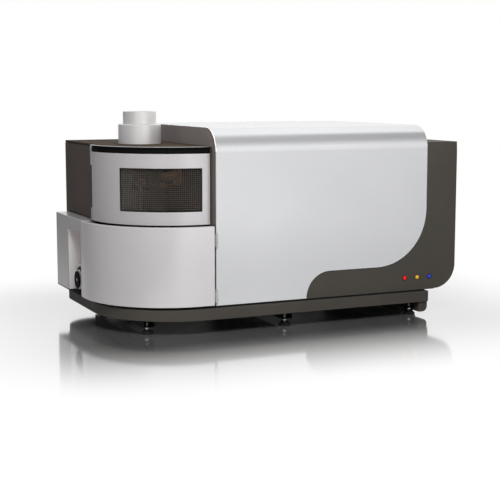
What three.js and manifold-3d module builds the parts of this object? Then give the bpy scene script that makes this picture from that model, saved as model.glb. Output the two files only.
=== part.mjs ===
// Benchtop inductively coupled plasma optical emission spectrometer.
// Lengths are millimetres and +Z is up. While it is built, x runs right from the left edge
// of the silver cover, y runs back from the front panel and z runs up from the underside of
// the cabinet. The finished group is moved so that its origin is the middle of the
// footprint, on the bench.
import * as THREE from 'three';
import { mergeVertices } from 'three/addons/utils/BufferGeometryUtils.js';
import Module from 'manifold-3d';

const wasm = await Module();
wasm.setup();

// Sheet metal and clearances
const sheet = 2.5;
const fitGap = 0.3;
const doorGap = 1;
const overrun = 20;
const weldDistance = 0.001;

// Cabinet, the dark box behind everything
const cabinetWidth = 1000;
const cabinetDepth = 741;
const cabinetHeight = 559;
const cabinetCornerRadius = 90;
const cabinetBend = 40;

// Silver cover wrapped over the front and the top
const coverWidth = 865;
const coverRise = 62.5;
const coverBend = 85;
const coverSheet = 3;
const coverFootWidth = 357;
const coverLowCurve = 96;
const coverHighCurve = 210;
const coverLip = 50;

// Bulkhead between the plasma tower and the optics
const cheekWidth = 10;

// Plasma tower, the upper curved bay
const towerWidth = 324;
const towerRadius = 300;
const towerCentreX = -45;
const towerCentreY = 318;
const towerShoulderY = 324;
const towerFold = 9;
const towerBandHeight = 14.5;
const towerBandThickness = 8;
const shelfLevel = 283.5;
const shelfSetback = 12;
const bayWallY = 560;

// Sample bay, the lower curved bay with its side box
const bayRadius = 330;
const bayCentreX = -50;
const bayCentreY = 322;
const bayShoulderY = 357;
const sideBoxInset = 2;
const sideBoxRearMargin = 44;

// Doors
const doorThickness = 16;
const windowMargin = 46;
const windowHeadMargin = 50;
const windowStartAngle = -147;
const windowEndAngle = -89.3;
const glassThickness = 4;
const glassSetback = 5;
const screenThickness = 1.5;
const screenWire = 3;
const screenColumns = 16;
const screenRows = 9;

// Hinges
const hingeRadius = 7;
const hingeProud = 3;
const slimHingeRadius = 5;
const hingePinRadius = 2.5;
const windowHingeHeight = 72;
const windowHingeLowHeight = 44;
const hingeFixedLength = 22;
const lowerHingeHeight = 48;
const lowerHingeLift = 12;
const lowerHingeDrop = 25;
const hingeLeafWidth = 16;
const slimLeafWidth = 7;
const hingeLeafThickness = 5;

// Exhaust chimney
const exhaustX = -159.5;
const exhaustY = 330.8;
const exhaustBore = 52;
const exhaustRingRadius = 77.7;
const exhaustRingHeight = 71.5;
const exhaustCollarRadius = 60.2;
const exhaustCollarHeight = 45;
const exhaustEdge = 4;

// Base, bearers and feet
const plinthGap = 8;
const plinthHeight = 38.7;
const plinthStep = 14;
const plinthSheet = 3;
const plinthLeft = 356;
const plinthRadius = 316;
const plinthRearRadius = 144;
const plinthFront = 15;
const plinthSide = 119;
const plinthCornerRadius = 18;
const bearerWidth = 40;
const bearerDrop = 28.3;
const bearerWall = 3;
const bearerEnd = 22;
const footRadius = 22.5;
const footNeckRadius = 13;
const footRimHeight = 4;
const footHeight = 13;
const footDrop = 25;
const studRadius = 5;
const studReach = 16;
const studNutRadius = 9;
const studNutHeight = 6;
const footLeftX = -220;
const footMiddleX = 291;
const footRightMargin = 56;
const footLeftY = 104;
const footFrontY = 44;

// Torch, load coil and their mounts
const torchRadius = 10;
const torchWall = 1.5;
const torchBaseRadius = 14;
const torchBaseHeight = 12;
const torchHeight = 128;
const torchFloor = 6;
const torchMountWidth = 60;
const torchMountHeight = 28;
const torchSeatDepth = 14;
const coilTurns = 3;
const coilRadius = 17;
const coilTubeRadius = 2.2;
const coilPitch = 8;
const coilDrop = 30;
const coilLead = 62;
const coilStepsPerTurn = 24;
const coilSides = 6;
const coilMountWidth = 62;
const coilMountHeight = 54;
const coilPostRadius = 6;
const torchWallY = 470;

// Optical interface through the bulkhead
const interfaceFlangeRadius = 38;
const interfaceFlangeThickness = 8;
const interfaceConeLength = 58;
const interfaceTipRadius = 12;
const interfaceBore = 8;
const interfaceTubeRadius = 20;

// Spray chamber and nebulizer
const chamberNeckRadius = 5.5;
const chamberNeckLength = 44;
const chamberRadius = 26;
const chamberWall = 2;
const chamberDrainRadius = 4;
const chamberDrainLength = 26;
const portRadius = 8;
const portLength = 20;
const nebulizerRadius = 4;
const nebulizerLength = 62;
const nebulizerArmRadius = 2.5;
const nebulizerArmLength = 18;

// Pump recess and peristaltic pump
const recessFrontY = 373;
const recessRearY = 540;
const recessTop = 244;
const recessDepth = 88;
const pumpY = 445;
const pumpZ = 53;
const pumpRotorRadius = 46;
const pumpRotorWidth = 30;
const pumpDiscThickness = 4;
const pumpRollerCount = 12;
const pumpRollerRadius = 6;
const pumpKnobRadius = 32;
const pumpKnobThickness = 7;
const pumpKnobGap = 2;
const pumpShaftRadius = 6;
const pumpHubRadius = 9;
const pumpBodyWidth = 112;
const pumpBodyHeight = 100;
const pumpBodyFrontY = 401;
const pumpBodyDepth = 44;
const pumpShaftDepth = 20;
const pumpTubeRadius = 1.6;
const pumpShoeThickness = 8;
const pumpShoeWidth = 20;
const pumpShoeStartAngle = 32;
const pumpShoeEndAngle = 150;
const pumpPivotOffsetY = 56;
const pumpPivotOffsetZ = 34;
const pumpPivotRadius = 3;
const pumpEarRadius = 7;
const pumpLeverTop = 180;
const pumpLeverWidth = 6;
const pumpLeverAngle = 132;

// Buttons in the front panel
const buttonSideMargin = 114;
const buttonPitch = 54.5;
const buttonCount = 3;
const buttonZ = 47;
const buttonRadius = 8;
const buttonProud = 2.5;
const buttonDepth = 9;
const buttonStemRadius = 3;
const buttonStemLength = 16;
const buttonTravel = 3;
const carrierMargin = 16;
const carrierHeight = 24;
const carrierThickness = 10;

// Optics and electronics in the cabinet
const chamberLeftX = 40;
const chamberFrontY = 140;
const opticsGap = 2;
const opticsDepth = 420;
const opticsHeight = 450;
const opticsWall = 8;
const detectorSize = 90;
const detectorLength = 60;
const detectorFinCount = 5;
const detectorFinThickness = 4;
const detectorFinDepth = 18;
const generatorSideMargin = 100;
const generatorRearMargin = 51;
const generatorLength = 340;
const generatorDepth = 330;
const generatorHeight = 240;
const supplyLength = 340;
const supplyFrontY = 60;
const supplyGap = 40;
const supplyHeight = 140;
const enclosureWall = 3;
const enclosurePort = 30;
const boardFanGap = 60;
const boardLength = 190;
const boardHeight = 180;
const boardHeadMargin = 79;
const boardThickness = 2;
const boardStandoff = 14;
const boardStandoffWidth = 8;
const boardPortWidth = 20;
const boardPortHeight = 14;
const boardPortCount = 3;

// Rear services
const fanSideMargin = 150;
const fanZ = 380;
const fanSize = 120;
const fanDepth = 25;
const fanBore = 56;
const fanHubRadius = 20;
const fanMotorDepth = 6;
const fanStrutWidth = 6;
const fanStrutDepth = 5;
const fanBladeCount = 7;
const fanBladeThickness = 2;
const fanBladeAngle = 35;
const fanTipGap = 3;
const grilleSlotCount = 9;
const grilleSlotHeight = 6;
const inletX = 420;
const inletZ = 90;
const inletWidth = 60;
const inletHeight = 90;
const inletDepth = 40;
const inletFlange = 6;
const inletFlangeThickness = 3;
const socketWidth = 34;
const socketHeight = 26;
const socketDepth = 22;
const switchWidth = 26;
const switchHeight = 20;
const switchDepth = 12;
const switchProud = 3;
const switchTiltAngle = 9;
const portsX = 120;
const portsZ = 120;
const portsPitch = 55;
const portsBlockHeight = 46;
const portsBlockThickness = 12;
const fittingRadius = 9;
const fittingLength = 26;
const fittingBore = 3.5;
const fittingCount = 3;

// Smoothness of round shapes
const bendSteps = 8;
const arcSteps = 24;
const ringSteps = 40;
const smallSteps = 16;

// Heights worked out from the sizes above
const floorTop = sheet;
const standLevel = floorTop + fitGap;
const shelfTop = shelfLevel + sheet;
const towerRoof = cabinetHeight - towerFold;
const bandBottom = towerRoof - towerBandHeight;
const windowDoorBottom = shelfTop + doorGap;
const windowDoorTop = bandBottom - doorGap;
const windowHeight = windowDoorTop - windowHeadMargin - windowDoorBottom - windowMargin;
const lowerDoorBottom = floorTop - fitGap - fitGap;
const lowerDoorTop = shelfLevel - doorGap;
const coverTop = cabinetHeight + coverRise;
const plinthTop = -plinthGap;
const plinthBottom = plinthTop - plinthHeight;
const bearerTop = plinthTop - plinthSheet - fitGap;
const bearerBottom = plinthBottom - bearerDrop;
const benchLevel = bearerBottom - footDrop;

// Plan places worked out from the sizes above
const cheekLeft = -cheekWidth;
const towerLeft = -towerWidth;
const towerFaceX = towerCentreX - towerRadius;
const bayFaceX = bayCentreX - bayRadius;
const bayFrontY = bayCentreY - bayRadius;
const towerDoorEndX = cheekLeft - doorGap - doorGap;
const sideBoxLeft = bayFaceX + sideBoxInset;
const sideBoxRearY = cabinetDepth - sideBoxRearMargin;
const sideBoxFrontY = bayShoulderY + doorGap;
const rearInside = cabinetDepth - sheet;
const windowHingeX = towerFaceX + hingeRadius - hingeProud;
const windowHingeY = towerShoulderY + hingeRadius;
const coverFaceY = -coverSheet - fitGap;
const lowerHingeX = -fitGap - fitGap;
const lowerHingeY = coverFaceY - slimHingeRadius - fitGap;
const lowerDoorEndX = lowerHingeX - slimHingeRadius - fitGap;
const recessBottom = standLevel;
const plinthWidth = cabinetWidth - plinthSide;
const footRightX = plinthWidth - footRightMargin;
const buttonFirstX = cabinetWidth - buttonSideMargin - buttonPitch * (buttonCount - 1);
const generatorLeftX = cabinetWidth - generatorSideMargin - generatorLength;
const generatorFrontY = cabinetDepth - generatorRearMargin - generatorDepth;
const supplyDepth = generatorFrontY - supplyGap - supplyFrontY;
const detectorLeftX = generatorLeftX - opticsGap - detectorFinDepth - detectorLength;
const opticsLength = detectorLeftX - chamberLeftX;
const opticsMiddleZ = standLevel + opticsHeight / 2;
const fanX = cabinetWidth - fanSideMargin;
const boardLeftX = fanX - fanSize / 2 - boardFanGap - boardLength;
const boardBottom = cabinetHeight - boardHeadMargin - boardHeight;
const recessBackX = sideBoxLeft + recessDepth;

// Materials, coloured as the photograph shows them
function finish(colour, roughness, metalness) {
  return new THREE.MeshStandardMaterial({ color: colour, roughness, metalness });
}

const darkPaint = finish(0x48433e, 0.5, 0.1);
const sidePaint = finish(0x3e3834, 0.55, 0.1);
const roofPaint = finish(0x483e34, 0.6, 0.1);
const silverPaint = finish(0xd6d5d8, 0.35, 0.35);
const doorPaint = finish(0xc4bfc4, 0.35, 0.35);
const glossBlack = finish(0x131211, 0.15, 0);
const blackSteel = finish(0x1a1918, 0.6, 0.3);
const blackRubber = finish(0x151515, 0.85, 0);
const brightSteel = finish(0xb8b8ba, 0.3, 0.9);
const stainless = finish(0x9d9595, 0.4, 0.8);
const darkGlass = finish(0x28241f, 0.1, 0);
const copper = finish(0xc0703a, 0.25, 1);
const quartz = finish(0xdfe4e6, 0.08, 0);
const ceramicWhite = finish(0xe8e4da, 0.5, 0);
const satinWhite = finish(0xdcdad8, 0.35, 0.3);
const castAluminium = finish(0xa9abad, 0.5, 0.7);
const boardGreen = finish(0x1f5a38, 0.5, 0);
const blackPlastic = finish(0x1c1c1d, 0.45, 0);
const clearTube = finish(0xd8d2c4, 0.3, 0);
const buttonRed = finish(0xfa0a0f, 0.3, 0);
const buttonYellow = finish(0xebaf32, 0.3, 0);
const buttonBlue = finish(0x283cc8, 0.3, 0);

// Solids: closed meshes joined and cut
function solidFrom(geometry) {
  const bare = geometry.clone();
  bare.deleteAttribute('normal');
  bare.deleteAttribute('uv');
  const merged = mergeVertices(bare, weldDistance);
  const vertProperties = new Float32Array(merged.attributes.position.array);
  const triVerts = new Uint32Array(merged.index.array);
  return new wasm.Manifold(new wasm.Mesh({ numProp: 3, vertProperties, triVerts }));
}

function geometryFrom(solid) {
  const mesh = solid.getMesh();
  const geometry = new THREE.BufferGeometry();
  geometry.setAttribute('position', new THREE.BufferAttribute(mesh.vertProperties, 3));
  geometry.setIndex(new THREE.BufferAttribute(mesh.triVerts, 1));
  geometry.computeVertexNormals();
  return geometry;
}

function join(...geometries) {
  const solids = geometries.map(solidFrom);
  return geometryFrom(solids.reduce((whole, part) => whole.add(part)));
}

function cut(geometry, ...tools) {
  const solids = tools.map(solidFrom);
  return geometryFrom(solids.reduce((whole, tool) => whole.subtract(tool), solidFrom(geometry)));
}

function common(geometry, other) {
  return geometryFrom(solidFrom(geometry).intersect(solidFrom(other)));
}

// Block between two corners
function block(from, to) {
  const size = to.map((value, index) => value - from[index]);
  const middle = to.map((value, index) => (value + from[index]) / 2);
  return new THREE.BoxGeometry(...size).translate(...middle);
}

// Outline drawn in plan, raised from one height to another
function raised(outline, bottom, top, steps = arcSteps) {
  const settings = { depth: top - bottom, bevelEnabled: false, curveSegments: steps };
  return new THREE.ExtrudeGeometry(outline, settings).translate(0, 0, bottom);
}

// Outline drawn in the front view with x and z, from one depth to another
function fronted(outline, front, back, steps = arcSteps) {
  const geometry = raised(outline, 0, back - front, steps);
  return geometry.rotateX(Math.PI / 2).translate(0, back, 0);
}

// Outline drawn in the side view with y and z, from one x to another
function sided(outline, left, right, steps = arcSteps) {
  const turn = new THREE.Matrix4().makeBasis(
    new THREE.Vector3(0, 1, 0),
    new THREE.Vector3(0, 0, 1),
    new THREE.Vector3(1, 0, 0),
  );
  return raised(outline, 0, right - left, steps).applyMatrix4(turn).translate(left, 0, 0);
}

// Round bar along one axis between two places on it
function bar(radius, axis, from, to, centre, steps = smallSteps) {
  const geometry = new THREE.CylinderGeometry(radius, radius, to - from, steps);
  const middle = (from + to) / 2;
  if (axis === 'x') {
    return geometry.rotateZ(Math.PI / 2).translate(middle, centre[0], centre[1]);
  }
  if (axis === 'y') {
    return geometry.translate(centre[0], middle, centre[1]);
  }
  return geometry.rotateX(Math.PI / 2).translate(centre[0], centre[1], middle);
}

// Round piece turned about the vertical, from a closed profile of radius and height pairs
function turned(profile, steps = ringSteps) {
  const points = profile.map(([radius, height]) => new THREE.Vector2(radius, height));
  return new THREE.LatheGeometry(points, steps).rotateX(Math.PI / 2);
}

function ringProfile(inner, outer, bottom, top, edge) {
  return [
    [inner, bottom],
    [outer, bottom],
    [outer, top - edge],
    [outer - edge, top],
    [inner, top],
    [inner, bottom],
  ];
}

function polygon(points) {
  return new THREE.Shape(points.map(([across, up]) => new THREE.Vector2(across, up)));
}

function named(name, geometry, material) {
  const mesh = new THREE.Mesh(geometry, material);
  mesh.name = name;
  return mesh;
}

function radians(degrees) {
  return THREE.MathUtils.degToRad(degrees);
}

// Side outline of a bent sheet: up the front, round the bend and back along the top
function bentOutline(radius, top, front, bottom, rear) {
  const outline = new THREE.Shape();
  outline.moveTo(rear, bottom);
  outline.lineTo(rear, top);
  outline.lineTo(front + radius, top);
  outline.absarc(front + radius, top - radius, radius, Math.PI / 2, Math.PI, false);
  outline.lineTo(front, bottom);
  outline.closePath();
  return outline;
}

function coverOutline(inset, frontY, bottom, rearY) {
  return bentOutline(coverBend - inset, coverTop - inset, frontY, bottom, rearY);
}

function cabinetOutline(inset, bottom, rearY) {
  return bentOutline(cabinetBend - inset, cabinetHeight - inset, inset, bottom, rearY);
}

// Region below the sweeping lower edge of the cover, in the front view
function coverSweep() {
  const rise = coverLowCurve;
  const lowCentre = coverFootWidth + coverLowCurve;
  const highCentre = coverWidth - coverHighCurve;
  const sweep = new THREE.Shape();
  sweep.moveTo(coverFootWidth, -overrun);
  sweep.lineTo(coverFootWidth, 0);
  sweep.absarc(lowCentre, 0, coverLowCurve, Math.PI, Math.PI / 2, true);
  sweep.absarc(highCentre, rise + coverHighCurve, coverHighCurve, -Math.PI / 2, 0, false);
  sweep.lineTo(coverWidth + overrun, rise + coverHighCurve);
  sweep.lineTo(coverWidth + overrun, -overrun);
  sweep.closePath();
  return sweep;
}

function rearOutside() {
  return cabinetDepth + coverSheet + fitGap;
}

function buildCover() {
  const outerRear = rearOutside();
  const sleeve = cut(
    sided(coverOutline(0, coverFaceY, 0, outerRear), 0, coverWidth, bendSteps),
    sided(
      coverOutline(coverSheet, coverFaceY + coverSheet, -overrun, outerRear - coverSheet),
      -overrun,
      coverWidth + overrun,
      bendSteps,
    ),
  );
  const behind = block(
    [-overrun, cabinetDepth / 2, -overrun],
    [coverWidth + overrun, outerRear + overrun, cabinetHeight - coverLip],
  );
  const lowerEdge = fronted(coverSweep(), coverFaceY - overrun, cabinetDepth / 2, bendSteps);
  return named('hood_cover', cut(sleeve, behind, lowerEdge), silverPaint);
}

function buildCoverEnd() {
  const inset = coverSheet + fitGap;
  const frontY = coverFaceY + inset;
  const outline = coverOutline(inset, frontY, 0, cabinetDepth);
  const plate = sided(outline, coverWidth - sheet, coverWidth, bendSteps);
  const below = block(
    [0, -overrun, -overrun],
    [coverWidth + overrun, rearOutside(), cabinetHeight + fitGap],
  );
  return named('hood_end_plate', cut(plate, below), darkPaint);
}

// Bulkhead; its lower front stands back behind the lower door
function buildCheek() {
  const slab = sided(
    coverOutline(0, 0, standLevel, rearInside - fitGap),
    cheekLeft,
    -fitGap,
    bendSteps,
  );
  const doorRoom = block(
    [-overrun, -overrun, 0],
    [overrun, bayFrontY + doorThickness + doorGap, shelfTop],
  );
  const passage = bar(
    interfaceTubeRadius + fitGap,
    'x',
    cheekLeft - overrun,
    overrun,
    [exhaustY, plasmaHeight()],
    arcSteps,
  );
  return named('end_cheek', cut(slab, doorRoom, passage), sidePaint);
}

// Front view of the cabinet, with its lower right corner rounded
function cabinetFace(left, top) {
  const radius = cabinetCornerRadius;
  const outline = new THREE.Shape();
  outline.moveTo(left, 0);
  outline.lineTo(cabinetWidth - radius, 0);
  outline.absarc(cabinetWidth - radius, radius, radius, -Math.PI / 2, 0, false);
  outline.lineTo(cabinetWidth, top);
  outline.lineTo(left, top);
  outline.closePath();
  return outline;
}

// Front panel, bent back under the cover and folded square beside it, to meet the top panel
function buildFrontPanel() {
  const fold = coverWidth + fitGap;
  const bent = cut(
    sided(cabinetOutline(0, 0, cabinetBend), 0, fold, bendSteps),
    sided(cabinetOutline(sheet, -overrun, cabinetDepth), -overrun, fold + overrun, bendSteps),
  );
  const square = cut(
    block([fold, 0, 0], [cabinetWidth, cabinetBend, cabinetHeight]),
    block(
      [fold - overrun, sheet, -overrun],
      [cabinetWidth + overrun, cabinetDepth, cabinetHeight - sheet],
    ),
  );
  const sleeve = join(bent, square);
  const face = fronted(cabinetFace(0, cabinetHeight), -overrun, cabinetBend, bendSteps);
  const bores = buttonPlaces().map((x) =>
    bar(buttonRadius + fitGap, 'y', -overrun, overrun, [x, buttonZ]),
  );
  return named('front_panel', cut(common(sleeve, face), ...bores), darkPaint);
}

// Right side panel, rolled under at the bottom and square behind the front panel
function buildRightPanel() {
  const centreX = cabinetWidth - cabinetCornerRadius;
  const top = cabinetHeight - sheet - fitGap;
  const inner = cabinetCornerRadius - sheet;
  const outline = new THREE.Shape();
  outline.moveTo(centreX, 0);
  outline.absarc(centreX, cabinetCornerRadius, cabinetCornerRadius, -Math.PI / 2, 0, false);
  outline.lineTo(cabinetWidth, top);
  outline.lineTo(cabinetWidth - sheet, top);
  outline.lineTo(cabinetWidth - sheet, cabinetCornerRadius);
  outline.absarc(centreX, cabinetCornerRadius, inner, 0, -Math.PI / 2, true);
  outline.closePath();
  const rear = rearInside - fitGap;
  const roll = fronted(outline, 0, rear, bendSteps);
  const side = block([0, sheet + fitGap, -overrun], [cabinetWidth + overrun, rear, cabinetHeight]);
  return named('right_panel', common(roll, side), darkPaint);
}

function buildTopPanel() {
  const plate = block(
    [0, cabinetBend + fitGap, cabinetHeight - sheet],
    [cabinetWidth, cabinetDepth, cabinetHeight],
  );
  return named('top_panel', plate, darkPaint);
}

function buildRearPanel() {
  const radius = cabinetCornerRadius;
  const outline = new THREE.Shape();
  const top = cabinetHeight - sheet - fitGap;
  outline.moveTo(towerLeft, 0);
  outline.lineTo(cabinetWidth - radius, 0);
  outline.absarc(cabinetWidth - radius, radius, radius, -Math.PI / 2, 0, false);
  outline.lineTo(cabinetWidth, top);
  outline.lineTo(0, top);
  outline.lineTo(0, towerRoof - fitGap);
  outline.lineTo(towerLeft, towerRoof - fitGap);
  outline.closePath();
  const plate = fronted(outline, rearInside, cabinetDepth);
  const slots = grilleSlots();
  const inletHole = block(
    [inletX - inletWidth / 2 - fitGap, cabinetDepth - overrun, inletZ - inletHeight / 2 - fitGap],
    [inletX + inletWidth / 2 + fitGap, cabinetDepth + overrun, inletZ + inletHeight / 2 + fitGap],
  );
  const fittings = fittingPlaces().map((x) =>
    bar(fittingRadius + fitGap, 'y', cabinetDepth - overrun, cabinetDepth + overrun, [x, portsZ]),
  );
  const dataHoles = boardPortPlaces().map((x) =>
    block(
      [x - boardPortWidth / 2 - fitGap, cabinetDepth - overrun, boardPortZ() - fitGap],
      [
        x + boardPortWidth / 2 + fitGap,
        cabinetDepth + overrun,
        boardPortZ() + boardPortHeight + fitGap,
      ],
    ),
  );
  const panel = cut(plate, ...slots, inletHole, ...fittings, ...dataHoles);
  return named('rear_panel', panel, sidePaint);
}

// Air slots for the fan, each as long as the fan's bore is wide at its height
function grilleSlots() {
  const pitch = (fanBore * 2) / grilleSlotCount;
  const slots = [];
  for (let index = 0; index < grilleSlotCount; index += 1) {
    const middle = -fanBore + pitch * (index + 1 / 2);
    const reach = Math.sqrt(fanBore ** 2 - middle ** 2) - fitGap;
    slots.push(
      block(
        [fanX - reach, cabinetDepth - overrun, fanZ + middle - grilleSlotHeight / 2],
        [fanX + reach, cabinetDepth + overrun, fanZ + middle + grilleSlotHeight / 2],
      ),
    );
  }
  return slots;
}

// Floor of the cabinet, following the inside of the lower door
function buildFloor() {
  const radius = bayRadius - doorThickness - doorGap;
  const front = sheet + fitGap;
  const right = cabinetWidth - cabinetCornerRadius - fitGap;
  const outline = new THREE.Shape();
  outline.moveTo(right, front);
  outline.lineTo(right, rearInside - fitGap);
  outline.lineTo(towerLeft + sheet + fitGap, rearInside - fitGap);
  outline.lineTo(towerLeft + sheet + fitGap, sideBoxRearY);
  outline.lineTo(sideBoxLeft, sideBoxRearY);
  outline.lineTo(sideBoxLeft, sideBoxFrontY);
  outline.lineTo(bayCentreX - radius, sideBoxFrontY);
  outline.lineTo(bayCentreX - radius, bayCentreY);
  outline.absarc(bayCentreX, bayCentreY, radius, Math.PI, Math.PI * 1.5, false);
  outline.lineTo(0, bayCentreY - radius);
  outline.lineTo(0, front);
  outline.closePath();
  return named('floor_plate', raised(outline, 0, sheet), blackSteel);
}

// Plan outline of the tower front: left side, quarter round, then on to the bulkhead
function towerFront(outline, setback, endX) {
  const radius = towerRadius - setback;
  const endAngle = -Math.acos((endX - towerCentreX) / radius);
  outline.lineTo(towerCentreX - radius, towerCentreY);
  outline.absarc(towerCentreX, towerCentreY, radius, -Math.PI, endAngle, false);
}

function towerOutline(setback, endX, rearY) {
  const outline = new THREE.Shape();
  const side = towerLeft + Math.max(0, setback - (towerLeft - towerFaceX));
  outline.moveTo(endX, rearY);
  outline.lineTo(side, rearY);
  outline.lineTo(side, towerShoulderY);
  outline.lineTo(towerCentreX - towerRadius + setback, towerShoulderY);
  towerFront(outline, setback, endX);
  outline.closePath();
  return outline;
}

function buildTowerTop() {
  const endX = cheekLeft - fitGap;
  const roof = raised(towerOutline(0, endX, cabinetDepth), towerRoof, cabinetHeight);
  const duct = bar(
    exhaustBore,
    'z',
    towerRoof - overrun,
    cabinetHeight + overrun,
    [exhaustX, exhaustY],
    ringSteps,
  );
  return named('tower_top', cut(roof, duct), roofPaint);
}

// Curved wall with the tower's plan, of one thickness
function towerWall(thickness, bottom, top, endX) {
  const outline = new THREE.Shape();
  const inner = towerRadius - thickness;
  outline.moveTo(towerFaceX + thickness, towerShoulderY);
  outline.lineTo(towerFaceX, towerShoulderY);
  towerFront(outline, 0, endX);
  const innerEnd = -Math.acos((endX - towerCentreX) / inner);
  outline.absarc(towerCentreX, towerCentreY, inner, innerEnd, -Math.PI, true);
  outline.closePath();
  return raised(outline, bottom, top);
}

function buildTowerBand() {
  const bottom = bandBottom;
  const top = towerRoof - fitGap;
  const wall = towerWall(towerBandThickness, bottom, top, towerDoorEndX);
  return named('tower_band', wall, glossBlack);
}

function buildTowerSide() {
  const left = towerLeft;
  const right = towerLeft + sheet;
  const top = towerRoof - fitGap;
  const front = towerShoulderY;
  const rear = rearInside - fitGap;
  const lowerFront = sideBoxRearY + fitGap;
  const outline = polygon([
    [front, shelfTop + fitGap],
    [lowerFront, shelfTop + fitGap],
    [lowerFront, standLevel],
    [rear, standLevel],
    [rear, top],
    [front, top],
  ]);
  return named('tower_side_panel', sided(outline, left, right), sidePaint);
}

// Wall behind both bays, stepped forward round the torch
function buildBayWall() {
  const left = towerLeft + sheet + fitGap;
  const right = cheekLeft - fitGap;
  const outline = polygon([
    [bayWallY, standLevel],
    [bayWallY + sheet, standLevel],
    [bayWallY + sheet, shelfTop + fitGap + sheet],
    [torchWallY + sheet, shelfTop + fitGap + sheet],
    [torchWallY + sheet, towerRoof - fitGap],
    [torchWallY, towerRoof - fitGap],
    [torchWallY, shelfTop + fitGap],
    [bayWallY, shelfTop + fitGap],
  ]);
  return named('bay_wall', sided(outline, left, right), stainless);
}

function buildShelf() {
  const endX = cheekLeft - fitGap;
  const outline = towerOutline(shelfSetback, endX, bayWallY - fitGap);
  const plate = raised(outline, shelfLevel, shelfTop);
  const bore = bar(
    chamberNeckRadius + fitGap,
    'z',
    shelfLevel - overrun,
    shelfTop + overrun,
    [exhaustX, exhaustY],
  );
  return named('tower_shelf', cut(plate, bore), blackSteel);
}

// Side box: a tray lying on its side, open towards the bay, with the pump's cut-out
function buildSideBox() {
  const top = shelfLevel - fitGap;
  const right = towerLeft - fitGap;
  const shell = block([sideBoxLeft, sideBoxFrontY, standLevel], [right, sideBoxRearY, top]);
  const hollow = block(
    [sideBoxLeft + sheet, sideBoxFrontY + sheet, standLevel + sheet],
    [right + overrun, sideBoxRearY - sheet, top - sheet],
  );
  const window = block(
    [sideBoxLeft - overrun, recessFrontY, recessBottom - overrun],
    [sideBoxLeft + overrun, recessRearY, recessTop],
  );
  const floor = block(
    [sideBoxLeft - overrun, recessFrontY - sheet - fitGap, recessBottom - overrun],
    [right + overrun, recessRearY + sheet + fitGap, standLevel + sheet + overrun],
  );
  const opening = common(floor, shell);
  const leg = block(
    [sideBoxLeft, recessFrontY - sheet - fitGap, standLevel],
    [sideBoxLeft + sheet, recessFrontY, standLevel + sheet + overrun],
  );
  return named('side_box', cut(shell, hollow, window, cut(opening, leg)), doorPaint);
}

// Stainless lining of the pump's recess, open below over the floor plate
function buildRecess() {
  const left = sideBoxLeft + sheet + fitGap;
  const shell = block(
    [left, recessFrontY - sheet, recessBottom],
    [recessBackX + sheet, recessRearY + sheet, recessTop + sheet],
  );
  const hollow = block(
    [left - overrun, recessFrontY, recessBottom - overrun],
    [recessBackX, recessRearY, recessTop],
  );
  return named('pump_recess', cut(shell, hollow), stainless);
}

// Sector of the tower's curved wall between two angles, in degrees
function sector(outer, inner, startAngle, endAngle, bottom, top, steps = arcSteps) {
  const outline = new THREE.Shape();
  const start = radians(startAngle);
  const end = radians(endAngle);
  outline.absarc(towerCentreX, towerCentreY, outer, start, end, false);
  outline.absarc(towerCentreX, towerCentreY, inner, end, start, true);
  outline.closePath();
  return raised(outline, bottom, top, steps);
}

function knuckle(radius, bottom, top, x, y) {
  return cut(
    bar(radius, 'z', bottom, top, [x, y]),
    bar(hingePinRadius + fitGap, 'z', bottom - overrun, top + overrun, [x, y]),
  );
}

function buildWindowDoor() {
  const window = sector(
    towerRadius + overrun,
    towerRadius - doorThickness - overrun,
    windowStartAngle,
    windowEndAngle,
    windowDoorBottom + windowMargin,
    windowDoorBottom + windowMargin + windowHeight,
  );
  const wall = cut(
    towerWall(doorThickness, windowDoorBottom, windowDoorTop, towerDoorEndX),
    window,
  );
  const knuckles = windowHingeSpans().map((span) => {
    const barrel = knuckle(hingeRadius, span.moving[0], span.moving[1], windowHingeX, windowHingeY);
    const leaf = block(
      [windowHingeX, towerShoulderY - hingeLeafWidth, span.moving[0]],
      [
        windowHingeX + hingeLeafThickness,
        windowHingeY - hingePinRadius - doorGap,
        span.moving[1],
      ],
    );
    return join(barrel, leaf);
  });
  return named('window_door', join(wall, ...knuckles), doorPaint);
}

// Each hinge has one knuckle on the door and one fixed to the tower, with the pin
function windowHingeSpans() {
  const top = cabinetHeight - doorGap;
  const low = windowDoorBottom + doorGap;
  return [
    {
      name: 'window_hinge_upper',
      fixed: [windowDoorTop + fitGap, top],
      moving: [top - windowHingeHeight, windowDoorTop],
    },
    {
      name: 'window_hinge_lower',
      fixed: [low, low + hingeFixedLength],
      moving: [low + hingeFixedLength + fitGap, low + windowHingeLowHeight],
    },
  ];
}

function buildWindowHinge(span) {
  const bottom = Math.min(span.fixed[0], span.moving[0]);
  const top = Math.max(span.fixed[1], span.moving[1]);
  const barrel = bar(hingeRadius, 'z', span.fixed[0], span.fixed[1], [windowHingeX, windowHingeY]);
  const pin = bar(hingePinRadius, 'z', bottom, top, [windowHingeX, windowHingeY]);
  const leaf = block(
    [windowHingeX, windowHingeY - hingePinRadius, span.fixed[0]],
    [towerLeft - fitGap, windowHingeY + hingeLeafWidth, span.fixed[1]],
  );
  return named(span.name, join(barrel, pin, leaf), brightSteel);
}

function glassRadius() {
  return towerRadius - glassSetback;
}

function paneAngles(radius) {
  const slack = THREE.MathUtils.radToDeg(fitGap / radius);
  return [windowStartAngle + slack, windowEndAngle - slack];
}

function paneHeights() {
  const bottom = windowDoorBottom + windowMargin;
  return [bottom + fitGap, bottom + windowHeight - fitGap];
}

function buildWindowGlass() {
  const outer = glassRadius();
  const inner = outer - glassThickness;
  const [start, end] = paneAngles(inner);
  const [bottom, top] = paneHeights();
  return named('window_glass', sector(outer, inner, start, end, bottom, top), darkGlass);
}

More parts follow.
